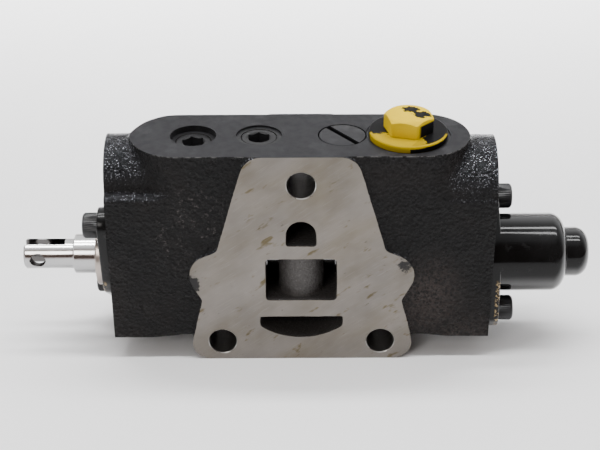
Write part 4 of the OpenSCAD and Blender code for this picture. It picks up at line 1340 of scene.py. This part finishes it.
@dataclass
class Casting:
    """The valve's iron body: the cast form, and everything that is drilled, bored and faced in it.

    A stepped hole is rows of radius and depth, from its mouth inwards. A channel is its radius and height.
    """

    form: CastShape = field(default_factory=CastShape)
    bolt_hole_d: float = 11.0
    bolt_bevel: tuple = (1.3, 0.3)
    bolt_low: tuple = (31.6, 8.4)
    bolt_top_h: float = 79.2
    bore_r: float = 8.05
    chamber_r: float = 11.0
    chamber_w: float = 7.0
    chamber_x: tuple = (25.0, PORT_X, 57.5)
    seal_pocket: tuple = (11.05, 5.0)
    screw_hole: tuple = (3.05, 13.5)
    recess_r: float = 8.85
    plug_r: float = 7.05
    core_r: float = 4.0
    port_steps: tuple = ((16.35, 0.5), (12.95, 3.0), (10.5, 16.0), (5.5, TOP_H - SPOOL_H))
    check_steps: tuple = ((9.4, 3.0), (8.05, 12.2), (6.55, 28.2), (4.0, 34.2))
    boss_steps: tuple = ((8.85, BOSS_PLUG_SUNK), (7.05, 11.5), (3.0, 33.0))
    feed: tuple = (3.5, 57.0)
    bridge: tuple = (3.0, 67.2)
    tank: tuple = (3.2, 21.0)

    def bore(self) -> Shape:
        """The spool's bore with its ring chambers and seal pockets, as one turned cutter along x."""
        end, (pocket_r, pocket_l) = HALF_L, self.seal_pocket
        path = [(0.0, -end - 2), (pocket_r, -end - 2), (pocket_r, pocket_l - end),
                (self.bore_r, pocket_l - end)]
        for x in sorted([-c for c in self.chamber_x] + list(self.chamber_x)):
            low, high = x - self.chamber_w / 2, x + self.chamber_w / 2
            path += [(self.bore_r, low), (self.chamber_r, low), (self.chamber_r, high), (self.bore_r, high)]
        path += [(r, -x) for r, x in path[3::-1]]
        return turned(np.array(path), 96).placed(Way.RIGHT, on_axis(0))

    def bolt_holes(self) -> Shape:
        """The three mounting holes, each with a slight bevel at its mouth on the pad."""
        r, deep, (wider, bevel) = self.bolt_hole_d / 2, DEPTH + 2, self.bolt_bevel
        path = np.array([(0, -1.0), (r + wider, -1.0), (r, bevel), (r, deep), (0, deep)])
        spots = [(-self.bolt_low[0], self.bolt_low[1]), self.bolt_low, (0.0, self.bolt_top_h)]
        return joined([turned(path, 72).placed(Way.BACK, (x, 0, height(h))) for x, h in spots])

    def screw_holes(self) -> Shape:
        """The four tapped holes in the ends."""
        r, deep = self.screw_hole
        return joined([rod(r, -deep, 1.0, 24).placed(way, on_axis(side * HALF_L, dy, dh))
                       for side, way in ((-1, Way.LEFT), (1, Way.RIGHT))
                       for dy, dh in screw_spots(SCREW_LEAN * side)])

    def top_holes(self) -> list:
        """The holes in the top: two plug holes and the right-hand port, and then the check valve's bore."""
        port_plug = ((self.recess_r, PORT_PLUG_SUNK), (self.plug_r, 13.0), (self.core_r, TOP_H - SPOOL_H))
        gallery_plug = ((self.recess_r, GALLERY_PLUG_SUNK), (self.plug_r, 11.3), (self.core_r, 27.0))
        cuts = [drilled(steps).placed(Way.UP, (x, SPOOL_Y, height(TOP_H)))
                for x, steps in ((-PORT_X, port_plug), (-CHECK_X, gallery_plug), (PORT_X, self.port_steps),
                                 (CHECK_X, self.check_steps))]
        return [joined(cuts[:3]), cuts[3]]

    def boss_holes(self) -> Shape:
        """The plug holes in the two end bosses, out to the ports behind them."""
        hole = drilled(self.boss_steps, 72)
        ends = ((Way.LEFT, -HALF_L, LEFT_BOSS_H), (Way.RIGHT, HALF_L, RIGHT_BOSS_H))
        return joined([hole.placed(way, (x, SPOOL_Y, height(h))) for way, x, h in ends])

    def cores(self) -> list:
        """The cored channels, as cutters that are taken away one after another."""
        (feed_r, feed_h), (bridge_r, bridge_h), (tank_r, tank_h) = self.feed, self.bridge, self.tank
        inner, _, outer = self.chamber_x
        along = ((feed_r, 0.0, CHECK_X, feed_h), (bridge_r, -inner, inner, bridge_h),
                 (tank_r, -outer, outer, tank_h))
        upright = ((bridge_r, SPOOL_H, bridge_h, inner), (tank_r, tank_h, SPOOL_H, outer))
        level = [rod(r, low, high, 32).placed(Way.RIGHT, (0, SPOOL_Y, height(h)))
                 for r, low, high, h in along]
        legs = [rod(r, low, high, 32).placed(Way.UP, (side * x, SPOOL_Y, FOOT_Z))
                for side in (-1, 1) for r, low, high, x in upright]
        return [joined(level), joined(legs)]

    def paint_faces(self, mesh: bpy.types.Mesh) -> None:
        """Gives each face the finish that made it.

        Faces on the pad's plane are ground, those in the top plane are faced and painted, those within a
        hair of the cast form keep their cast skin, bare inside the galleries, and the rest are bored or
        milled.

        Args:
            mesh: The machined body, whose materials are in the order of build.
        """
        cast, ground, top, bored, end, bare, raw = range(7)
        centre, normal = (np.empty(len(mesh.polygons) * 3) for _ in range(2))
        mesh.polygons.foreach_get("center", centre)
        mesh.polygons.foreach_get("normal", normal)
        centre, normal = centre.reshape(-1, 3) * 1000.0, normal.reshape(-1, 3)
        x, y, h = centre[:, 0], centre[:, 1], centre[:, 2] - FOOT_Z
        kind = np.full(len(centre), bored)
        kind[(y < 0.9) & (normal[:, 1] < -0.3)] = bare
        kind[(h > TOP_H - 3.1) | (np.abs(x) > HALF_L - 1.1)] = end
        kind[np.abs(self.form.field(centre)) < 0.22] = cast
        kind[(kind == cast) & (self.form.galleries(x, y, h) < 0.6) & (y > 0.3)] = raw
        flat = 0.02
        kind[(y < flat) & (normal[:, 1] < flat - 1)] = ground
        kind[(h > TOP_H - flat) & (normal[:, 2] > 1 - flat)] = top
        kind[(np.abs(x) > HALF_L - flat) & (np.abs(normal[:, 0]) > 1 - flat)] = end
        mesh.polygons.foreach_set("material_index", kind.astype(np.int32))

    def build(self) -> bpy.types.Object:
        """Casts and machines the body, and paints each face by what made it."""
        thing = make_object("body_casting", self.form.net())
        carve(thing, block((-HALF_L, 0.0, FOOT_Z), (HALF_L, DEPTH, FOOT_Z + TOP_H)), "INTERSECT")
        for cutter in [self.bolt_holes(), self.bore(), self.screw_holes(), *self.top_holes(),
                       self.boss_holes(), *self.cores()]:
            carve(thing, cutter)
        finish_with(thing, CAST, PAD, TOP, BORED, END, BARE, RAW)
        self.paint_faces(thing.data)
        shade(thing, 32.0)
        return fit(thing, "housing", "painted_iron", "valve_body")


@dataclass
class CapScrew:
    """A socket-head screw with a knurled head. Its lip is rows of steps in from the rim and up to the top."""

    head_d: float = 10.0
    head_l: float = 6.0
    shank_d: float = 6.0
    shank_l: float = 15.7
    shank_edge: float = 0.6
    foot_edge: float = 0.25
    lip: tuple = ((0.0, 1.0), (0.12, 0.7), (0.45, 0.22), (0.9, 0.0))
    socket: float = 5.0
    teeth: int = 48
    tooth: float = 0.16
    turn: float = 17.0

    def head(self) -> Shape:
        """The head and shank: the head's radius drops by a little at every second step round."""
        r, shank, foot = self.head_d / 2, self.shank_d / 2, -self.shank_l
        path = [(0, foot), (shank - self.shank_edge, foot), (shank, foot + self.shank_edge), (shank, 0.0),
                (r - self.foot_edge, 0.0), (r, self.foot_edge)]
        path += [(r - inwards, self.head_l - down) for inwards, down in self.lip] + [(0, self.head_l)]
        shape = turned(np.array(path), self.teeth * 2)
        ring = shape.points[:-2].reshape(len(path) - 2, self.teeth * 2, 3)
        ring[4:6, 1::2, :2] *= 1 - self.tooth / r
        return shape

    def build(self, name: str, node: str, way: Way, x: float, spots: Sequence[tuple]) -> bpy.types.Object:
        """Makes one object holding an end's screws.

        Args:
            name: The object's name.
            node: The CAD node that it stands for.
            way: Where the heads look.
            x: Where the heads sit.
            spots: Each screw's steps back and up from the spool's axis.

        Returns:
            The finished object.
        """
        places = [on_axis(x, *spot) for spot in spots]
        heads, cuts = (joined([shape.spun(self.turn * i).placed(way, at) for i, at in enumerate(places)])
                       for shape in (self.head(), socket_cut(self.socket, self.head_l, self.head_l / 2)))
        thing = make_object(name, heads)
        carve(thing, cuts)
        finish_with(thing, SCREW)
        shade(thing, 28.0)
        return fit(thing, "housing", "black_steel", node)


@dataclass
class LeftEnd:
    """What closes the fork's end: a flange, its two screws and the bright seal retainer."""

    lobe_r: float = 16.0
    retainer_r: float = 12.5
    retainer_wall: float = 2.0
    rim: tuple = (13.9, 1.2)
    proud: float = 2.8
    lip_t: float = 1.95
    hole_r: float = 8.4
    gap: float = 0.05
    bevel: tuple = (1.3, 0.3)

    def flange(self, spots: Sequence[tuple]) -> bpy.types.Object:
        """The flange: a lobed plate with a stepped hole for the retainer.

        Args:
            spots: The screws' places along the end's own axes.

        Returns:
            The finished object.
        """
        thing = make_object("left_flange_plate",
                            eared_plate(spots, self.lobe_r).placed(Way.LEFT, on_axis(-HALF_L)))
        r, (rim_r, rim_t), (wider, bevel) = self.retainer_r + self.gap, self.rim, self.bevel
        path = np.array([(0, -1.0), (rim_r + self.gap, -1.0), (rim_r + self.gap, rim_t), (r, rim_t),
                         (r, FLANGE_T - bevel), (r + wider, FLANGE_T + 1.0), (0, FLANGE_T + 1.0)])
        carve(thing, joined([turned(path, 96), *lug_holes(spots)]).placed(Way.LEFT, on_axis(-HALF_L)))
        finish_with(thing, FLANGE)
        shade(thing)
        return fit(thing, "housing", "gloss_black", "left_flange")

    def retainer(self) -> bpy.types.Object:
        """The retainer: a turned cup with a thin lip in its mouth."""
        (rim_r, rim_t), r = self.rim, self.retainer_r
        inner, end = r - self.retainer_wall, FLANGE_T + self.proud
        lip = end - self.lip_t
        section = softened([(self.hole_r, lip, 0), (self.hole_r, end, 0.5), (r, end, 0.7), (r, rim_t, 0),
                            (rim_r, rim_t, 0.2), (rim_r, 0.0, 0.2), (inner, 0.0, 0.2), (inner, lip, 0.3)],
                           closed=True, steps=4)
        cup = turned(section, 96, loop=True)
        thing = make_object("seal_retainer_cup", cup.placed(Way.LEFT, on_axis(-HALF_L)))
        finish_with(thing, RETAINER)
        shade(thing)
        return fit(thing, "housing", "plain_steel", "seal_retainer")

    def build(self) -> list:
        """Builds the flange, the retainer and the two screws. The end's own axes are up and back."""
        spots = screw_spots(-SCREW_LEAN)
        screws = CapScrew().build("left_flange_screw_pair", "left_flange_screws", Way.LEFT,
                                  -HALF_L - FLANGE_T, spots)
        return [self.flange([(dh, dy) for dy, dh in spots]), self.retainer(), screws]


@dataclass
class SpringCap:
    """The glossy cap on the right: flange ears, a wide barrel, a narrower nose, and two screws."""

    r: float = 15.7
    length: float = 30.1
    round_r: float = 5.5
    nose_r: float = 9.95
    nose_l: float = 9.8
    nose_round: float = 5.0
    inner: tuple = ((14.9, 1.6), (13.4, 23.6), (11.9, 28.1), (7.8, 37.9))

    def barrel(self) -> Shape:
        """The outside as a turned profile, with a soft foot where the nose leaves the barrel."""
        end = self.length + self.nose_l
        path = softened([(0, 0, 0), (self.r, 0, 0), (self.r, self.length, self.round_r),
                         (self.nose_r, self.length, 0.5), (self.nose_r, end, self.nose_round), (0, end, 0)],
                        steps=12)
        return turned(path, 128)

    def build(self) -> list:
        """Builds the cap and its screws."""
        spots, at = screw_spots(SCREW_LEAN), on_axis(HALF_L)
        thing = make_object("spring_cap_shell", eared_plate(spots, self.r).placed(Way.RIGHT, at))
        carve(thing, self.barrel().placed(Way.RIGHT, at), "UNION")
        hollow = turned(stepped_path(self.inner), 96)
        carve(thing, joined([hollow, *lug_holes(spots)]).placed(Way.RIGHT, at))
        finish_with(thing, GLOSS)
        shade(thing, 30.0)
        screws = CapScrew().build("spring_cap_screw_pair", "spring_cap_screws", Way.RIGHT,
                                  HALF_L + FLANGE_T, spots)
        return [fit(thing, "housing", "gloss_black", "spring_cap"), screws]


@dataclass
class Spool:
    """The sliding spool: ground lands and necks, and a slotted, cross-drilled fork at its left end.

    The slot is its width, its length and its cutter's radius; the pin hole is its radius and its place from
    the tip; a neck is a span of x, alike on both sides, and so is a row of metering nicks.
    """

    r: float = 8.0
    neck_r: float = 5.2
    shoulder_x: float = -90.9
    end_x: float = 82.5
    end_hole: tuple = (3.05, 15.0)
    fork_r: float = 6.0
    fork_l: float = 20.1
    edge: float = 0.8
    slot: tuple = (4.8, 18.0, 12.0)
    pin: tuple = (3.0, 5.7)
    pin_bevel: tuple = (1.3, 0.3)
    necks: tuple = ((7.0, 13.5), (22.5, 35.8), (46.8, 61.0))
    nicks: tuple = ((35.8, 38.8), (43.8, 46.8))
    nick_r: float = 1.2

    @property
    def tip(self) -> float:
        """Where the fork ends."""
        return self.shoulder_x - self.fork_l

    def profile(self) -> Array:
        """Radius against x, from the fork's tip to the right end."""
        path = [(0, self.tip, 0), (self.fork_r - self.edge, self.tip, 0.15),
                (self.fork_r, self.tip + self.edge, 0.3), (self.fork_r, self.shoulder_x, 0.4),
                (self.r - 0.5, self.shoulder_x, 0.1), (self.r, self.shoulder_x + 0.5, 0.1)]
        for low, high in sorted([(-b, -a) for a, b in self.necks] + list(self.necks)):
            path += [(self.r, low, 0), (self.neck_r, low, 0.5), (self.neck_r, high, 0.5), (self.r, high, 0)]
        path += [(self.r, self.end_x, 0.3), (0, self.end_x, 0)]
        return softened(path, steps=4)

    def slot_cut(self) -> Shape:
        """The fork's slot, seen from in front: a parallel cut whose end is the cutter's own curve."""
        wide, length, cutter = self.slot
        a = np.linspace(-math.pi / 2, math.pi / 2, 41)
        end = np.stack([self.tip + length - cutter + cutter * np.cos(a), cutter * np.sin(a)], axis=1)
        flat = np.vstack([[[self.tip - 3, -cutter]], end, [[self.tip - 3, cutter]]])
        shape = plate(flat, -wide / 2, wide / 2)
        x, up, front = shape.points.T
        return Shape(np.stack([x, SPOOL_Y - front, height(SPOOL_H) + up], axis=1), shape.quads, shape.others)

    def pin_cut(self) -> Shape:
        """The cross hole for the lever's pin, with a slight bevel at both mouths."""
        (r, along), far, (wider, bevel) = self.pin, self.fork_r, self.pin_bevel
        path = np.array([(0, -far - 1), (r + wider, -far - 1), (r, -far + bevel), (r, far - bevel),
                         (r + wider, far + 1), (0, far + 1)])
        return turned(path, 64).placed(Way.BACK, on_axis(self.tip + along))

    def nick_cuts(self) -> Shape:
        """The hole in the right end, and four metering nicks at each of the lands' inner edges."""
        hole_r, deep = self.end_hole
        cuts = [rod(hole_r, self.end_x - deep, self.end_x + 1, 32).placed(Way.RIGHT, on_axis(0))]
        for side in (-1, 1):
            for low, high in self.nicks:
                ends = sorted((side * low, side * high))
                for turn in np.radians([45, 135, 225, 315]):
                    at = on_axis(0, self.r * math.cos(turn), self.r * math.sin(turn))
                    cuts.append(rod(self.nick_r, *ends, 20).placed(Way.RIGHT, at))
        return joined(cuts)

    def build(self) -> bpy.types.Object:
        """Turns the spool, cuts its fork, drills its cross hole and its end, and nicks its lands."""
        thing = make_object("spool_bar", turned(self.profile(), 96).placed(Way.RIGHT, on_axis(0)))
        for cutter in (self.slot_cut(), self.pin_cut(), self.nick_cuts()):
            carve(thing, cutter)
        finish_with(thing, BRIGHT)
        shade(thing, 30.0)
        return fit(thing, "spool_pack", "ground_steel", "spool")


@dataclass
class SocketPlug:
    """A flush plug with a hexagonal socket."""

    d: float = 14.0
    length: float = 9.0
    edge: float = 0.5
    socket: float = 8.0
    deep: float = 4.5
    lead: tuple = (0.1, 0.45)

    def build(self, name: str, node: str, way: Way, at: Sequence[float], turn: float) -> bpy.types.Object:
        """Turns the plug and cuts its socket.

        Args:
            name: The object's name.
            node: The CAD node that it stands for.
            way: Where its top face looks.
            at: The middle of its top face.
            turn: Turn of its socket in degrees.

        Returns:
            The finished object.
        """
        r, foot, edge = self.d / 2, -self.length, self.edge
        path = softened([(0, foot, 0), (r - edge, foot, 0), (r, foot + edge, 0), (r, -edge, 0.2),
                         (r - edge, 0, 0.2), (0, 0, 0)], steps=3)
        thing = make_object(name, turned(path, 80).placed(way, at))
        carve(thing, socket_cut(self.socket, 0.0, self.deep).spun(turn).placed(way, at))
        (wider, low), above = self.lead, 0.5
        inner = self.socket / 2 + wider
        lead = np.array([(0, -low), (inner, -low), (inner + low + above, above), (0, above)])
        carve(thing, turned(lead, 64).placed(way, at))
        finish_with(thing, PLUG)
        shade(thing, 28.0)
        return fit(thing, "housing", "plug_steel", node)


@dataclass
class CheckPlug:
    """The slotted plug that closes the check valve's bore.

    The head, the groove and the pocket are a radius and a length, the thread a radius and its foot's height,
    and the slot its width, depth and turn.
    """

    head: tuple = (8.95, 3.0)
    thread: tuple = (8.0, 79.0)
    groove: tuple = (6.3, 2.0)
    slot: tuple = (2.2, 1.8, -53.0)
    pocket: tuple = (4.4, 5.0)

    def build(self) -> bpy.types.Object:
        """Turns the plug, then cuts its slot and its spring pocket."""
        (r, t), (tr, low_h), (gr, gl) = self.head, self.thread, self.groove
        low = low_h - TOP_H
        path = softened([(0, low, 0), (tr - 0.6, low, 0.1), (tr, low + 0.6, 0.1), (tr, -t - gl, 0.1),
                         (gr, -t - gl, 0.2), (gr, -t, 0.2), (r, -t, 0.1), (r, 0, 0.35), (0, 0, 0)], steps=3)
        at = (CHECK_X, SPOOL_Y, height(TOP_H))
        thing = make_object("check_plug_head", turned(path, 96).placed(Way.UP, at))
        wide, deep, turn = self.slot
        cut = block((-r - 2, -wide / 2, -deep), (r + 2, wide / 2, 1.0)).spun(turn)
        carve(thing, cut.placed(Way.UP, at))
        carve(thing, rod(self.pocket[0], low - 1, low + self.pocket[1], 48).placed(Way.UP, at))
        finish_with(thing, SLOTTED)
        shade(thing, 28.0)
        return fit(thing, "housing", "plug_steel", "check_plug")


@dataclass
class TransportPlug:
    """The yellow plastic plug in the right-hand port: thread, flange and hexagonal head, hollow below.

    The thread is its radius, length and pitch; its fade is over how much of the tip it comes in, and how far
    below the seat it has gone. The lead is a length and a depth, the flange a radius and a thickness, and the
    bore a radius and a depth.
    """

    seat_h: float = 90.7
    thread: tuple = (10.45, 12.0, 1.81)
    thread_depth: float = 1.05
    fade: tuple = (1.4, 2.9)
    lead: tuple = (0.8, 0.5)
    flange: tuple = (15.2, 2.8)
    across: float = 17.0
    corner: float = 0.8
    hex_l: float = 6.6
    sunk: float = 0.01
    turn: float = -15.5
    edge: float = 1.6
    edge_drop: float = 2.8
    bore: tuple = (7.4, 13.0)

    def screw_thread(self, sides: int = 96, rows: int = 120) -> Shape:
        """The threaded stem: its radius follows a rounded wave of height over pitch less the turn.

        The wave is cut off flat at its crest, and fades out at the stem's tip and under the flange.

        Args:
            sides: Steps round.
            rows: Rings along the stem.

        Returns:
            The closed stem.
        """
        r, length, pitch = self.thread
        a = np.arange(sides) * 2 * math.pi / sides
        t = np.linspace(-length, 0.5, rows)
        phase = t[:, None] / pitch - a[None, :] / (2 * math.pi)
        wave = np.clip(0.5 + 0.85 * np.cos(2 * math.pi * phase), 0, 1)
        fade_in, fade_out = self.fade
        fade = np.clip(np.minimum((t + length) / fade_in, -fade_out - t), 0, 1)[:, None]
        lead_l, lead_in = self.lead
        lead = np.clip(1 - (t + length) / lead_l, 0, 1)[:, None] * lead_in
        radius = r - self.thread_depth + self.thread_depth * wave * fade - lead
        return sleeve(np.stack([radius * np.cos(a), radius * np.sin(a),
                                np.broadcast_to(t[:, None], radius.shape)], axis=2))

    def head(self, top: float) -> bpy.types.Object:
        """The hexagon, with its upper corners turned away by a rounded cone.

        Args:
            top: The head's top above the seat.

        Returns:
            The head as an object.
        """
        at = (PORT_X, SPOOL_Y, height(self.seat_h))
        outline = hexagon(self.across, self.turn, self.corner)
        thing = make_object("hexagon", plate(outline, self.flange[1] / 2, top, 0.35, 0.0).placed(Way.UP, at))
        r = self.across / 2 / math.cos(math.pi / 6)
        cone = softened([(0, -1, 0), (r + 2, -1, 0), (r + 2, top - self.edge_drop, 0),
                         (r - self.edge, top, 2.2), (0, top, 0)], steps=8)
        carve(thing, turned(cone, 128).placed(Way.UP, at), "INTERSECT")
        return thing

    def build(self) -> bpy.types.Object:
        """Joins the stem, the flange and the bevelled hexagon, and bores the stem out."""
        at = (PORT_X, SPOOL_Y, height(self.seat_h))
        (r, t), (bore_r, deep) = self.flange, self.bore
        rim = turned(softened([(0, 0, 0), (r, 0, 0.3), (r, t, 0.9), (0, t, 0)], steps=6), 128)
        thing = make_object("transport_plug_cap", rim.placed(Way.UP, at))
        carve(thing, self.head(t + self.hex_l - self.sunk), "UNION")
        carve(thing, self.screw_thread().placed(Way.UP, at), "UNION")
        foot = -self.thread[1]
        carve(thing, rod(bore_r, foot - 1, foot + deep, 64).placed(Way.UP, at))
        finish_with(thing, YELLOW)
        shade(thing, 30.0)
        return fit(thing, "port_closure", "yellow_plastic", "transport_plug")


@dataclass
class Coil:
    """A compression spring whose end turns lie close together."""

    radius: float
    length: float
    wire: float
    turns: float
    closed: float = 1.0

    def shape(self, sides: int = 12, steps_a_turn: int = 30) -> Shape:
        """The wire, as circles across the radius and the axis, carried round and up.

        At turn u its middle stands at radius (cos 2 pi u, sin 2 pi u), and climbs by one wire a turn over
        the closed turns at both ends, and evenly over the rest.

        Args:
            sides: Steps round the wire.
            steps_a_turn: Rings in each turn of the spring.

        Returns:
            The closed wire.
        """
        u = np.linspace(0, self.turns, int(self.turns * steps_a_turn) + 1)
        low, rise = self.wire / 2, min(self.wire * 1.02 * self.closed, (self.length - self.wire) * 0.25)
        z = np.interp(u, [0, self.closed, self.turns - self.closed, self.turns],
                      [low, low + rise, self.length - low - rise, self.length - low])
        b = np.arange(sides) * 2 * math.pi / sides
        r = self.radius + low * np.cos(b)[None, :]
        a = 2 * math.pi * u[:, None]
        return sleeve(np.stack([r * np.cos(a), r * np.sin(a), z[:, None] + low * np.sin(b)[None, :]], axis=2),
                      flip=True)

    def build(self, name: str, way: Way, at: Sequence[float]) -> bpy.types.Object:
        """Makes the spring from its foot at a place."""
        thing = make_object(name, self.shape().placed(way, at))
        finish_with(thing, WIRE)
        shade(thing, 50.0)
        return thing


@dataclass
class Springs:
    """The two springs inside: one centres the spool, and one seats the check poppet."""

    centring: Coil = field(default_factory=lambda: Coil(9.24, 10.7, 2.2, 3.0, 0.6))
    check: Coil = field(default_factory=lambda: Coil(3.3, 16.0, 1.2, 6.0))
    centring_x: float = 84.3
    check_foot_z: float = 59.6
    lift: float = 3.0

    def build(self) -> list:
        """Builds both. The check spring's top stays under its plug."""
        pack = self.centring.build("centring_coil", Way.RIGHT, on_axis(self.centring_x))
        small = self.check.build("check_coil", Way.UP, (CHECK_X, SPOOL_Y, self.check_foot_z))
        fit(small, "housing", "spring_steel", "check_spring")
        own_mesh(small)
        return [fit(pack, "spool_pack", "spring_steel", "centring_spring"), small]


# --------------------------------------------------------------------------------------------------------
# The setting
# --------------------------------------------------------------------------------------------------------


CAD_FINISHES = {
    "spool_end_screw": SCREW, "inner_spring_seat": DULL, "outer_spring_seat": DULL,
    "left_spool_seal": RUBBER, "right_spool_seal": RUBBER, "right_seal_washer": DULL, "wiper_ring": RUBBER,
    "spring_cap_o_ring": RUBBER, "port_plug_washer": COPPER, "gallery_plug_washer": COPPER,
    "check_plug_o_ring": RUBBER, "check_poppet": DULL, "transport_plug_o_ring": RUBBER,
    "left_boss_washer": COPPER, "right_boss_washer": COPPER,
}


@dataclass(frozen=True)
class Lamp:
    """A rectangular lamp: its place, what it faces and its size in millimetres, power, tint and beam."""

    name: str
    at: tuple
    aim: tuple
    size: tuple
    power: float
    tint: tuple = (1, 1, 1)
    beam: float = 180.0

    def build(self) -> None:
        """Hangs the lamp, with its width level."""
        lamp = bpy.data.lights.new(self.name, "AREA")
        lamp.shape = "RECTANGLE"
        lamp.size, lamp.size_y = self.size[0] / 1000.0, self.size[1] / 1000.0
        lamp.energy = self.power
        lamp.color = self.tint
        lamp.spread = math.radians(self.beam)
        thing = bpy.data.objects.new(self.name, lamp)
        bpy.context.scene.collection.objects.link(thing)
        place, goal = np.array(self.at, dtype=float) / 1000.0, np.array(self.aim, dtype=float) / 1000.0
        back = (place - goal) / np.linalg.norm(place - goal)
        side = np.cross((0, 0, 1.0) if abs(back[2]) < 0.99 else (0, -1.0, 0), back)
        side /= np.linalg.norm(side)
        up = np.cross(back, side)
        thing.matrix_world = Matrix([[side[k], up[k], back[k], place[k]] for k in range(3)] + [[0, 0, 0, 1]])


@dataclass
class Studio:
    """A pale seamless table, soft lights and the camera."""

    eye: tuple = (-0.39, -452.6, 315.2)
    tilt: float = 30.0
    roll: float = -0.25
    lens: float = 81.96
    sensor: float = 36.0
    table_y: tuple = (-1500.0, 1300.0)
    table_w: float = 2400.0
    sweep_r: float = 450.0
    wall_z: float = 600.0
    paper: Mottled = Mottled("table_paper", (0.83, 0.832, 0.838), 0.62, grain_per_mm=0.6, grain_depth=0.02,
                             shade=0.985)
    lamps: tuple = (
        Lamp("back_tube", (0, 235, 900), (0, 19, 30), (1100, 85), 9.0),
        Lamp("front_tube", (0, -50, 920), (0, 19, 30), (1100, 85), 9.0),
        Lamp("front_fill", (-500, -900, 700), (0, 0, 30), (500, 400), 4.5, (1.0, 0.97, 0.94)),
        Lamp("backdrop_lamp", (0, 560, 420), (0, 560, 0), (1900, 260), 10.0, beam=95.0),
    )
    room: tuple = (1.0, 1.0, 1.01)
    dim: tuple = (0.13, 0.095, 0.075)
    glow: float = 1.12

    def table(self) -> None:
        """A plain floor that curves up into a backdrop far behind the object.

        Its section is a level line, a quarter circle and an upright line, swept sideways.
        """
        (front, back), level = self.table_y, FOOT_Z - 0.02
        path = softened([(front, level, 0), (back, level, self.sweep_r), (back, self.wall_z, 0)], steps=40)
        n = len(path)
        points = np.vstack([np.column_stack([np.full(n, side * self.table_w), path]) for side in (-1, 1)])
        i = np.arange(n - 1)
        thing = make_object("table_sweep", Shape(points, np.stack([i, n + i, n + i + 1, i + 1], axis=1)))
        finish_with(thing, self.paper)
        shade(thing, 60.0)

    def camera(self) -> None:
        """Sets the camera at the eye, looking back and down by the tilt."""
        made = bpy.data.cameras.new("camera")
        made.lens, made.sensor_width = self.lens, self.sensor
        made.clip_start, made.clip_end = 0.01, 20.0
        thing = bpy.data.objects.new("camera", made)
        bpy.context.scene.collection.objects.link(thing)
        turn = Matrix.Rotation(math.radians(90 - self.tilt), 4, "X") @ Matrix.Rotation(
            math.radians(self.roll), 4, "Z")
        thing.matrix_world = Matrix.Translation([v / 1000.0 for v in self.eye]) @ turn
        bpy.context.scene.camera = thing

    def world(self) -> None:
        """Fills the room with soft light from above and behind, and leaves it dim and brown in front."""
        made = bpy.data.worlds.new("room")
        made.use_nodes = True
        made.node_tree.nodes.clear()
        g = Graph(made.node_tree)
        _, y, z = g.axes(g.node("TexCoord").outputs["Generated"])
        dimmed = g.times(g.clamp_span(y, 0.15, -0.45), g.clamp_span(z, 0.96, 0.70))
        glow = g.node("Background", {"Color": g.mix(dimmed, self.room, self.dim), "Strength": self.glow})
        g.node("OutputWorld", {0: glow.outputs[0]})
        bpy.context.scene.world = made

    def build(self) -> None:
        """Sets the table, the room, the camera and the lamps."""
        self.table()
        self.world()
        self.camera()
        for lamp in self.lamps:
            lamp.build()


def plug_bodies() -> list:
    """Builds the four socket plugs: two sunk in the top, and one in each end boss."""
    plug, top, out = SocketPlug(), height(TOP_H), HALF_L - BOSS_PLUG_SUNK
    rows = (("port_plug", Way.UP, (-PORT_X, SPOOL_Y, top - PORT_PLUG_SUNK), 12.0),
            ("gallery_plug", Way.UP, (-CHECK_X, SPOOL_Y, top - GALLERY_PLUG_SUNK), 3.0),
            ("left_boss_plug", Way.LEFT, (-out, SPOOL_Y, height(LEFT_BOSS_H)), 20.0),
            ("right_boss_plug", Way.RIGHT, (out, SPOOL_Y, height(RIGHT_BOSS_H)), 8.0))
    return [plug.build(node + "_body", node, way, at, turn) for node, way, at, turn in rows]


def main() -> None:
    """Builds every piece in order, then the setting."""
    logging.basicConfig(level=logging.INFO, format="%(message)s")
    pieces = [Casting().build(), Spool().build(), *LeftEnd().build(), *SpringCap().build(), *plug_bodies(),
              CheckPlug().build(), TransportPlug().build(), *Springs().build()]
    for piece in pieces:
        log.info("%s: %d faces", piece.name, len(piece.data.polygons))
    for name, finish in CAD_FINISHES.items():
        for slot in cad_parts[name].material_slots:
            slot.material = finish.material()
        log.info("%s dressed as %s", name, finish.name)
    Studio().build()


if __name__ == "__main__":
    main()
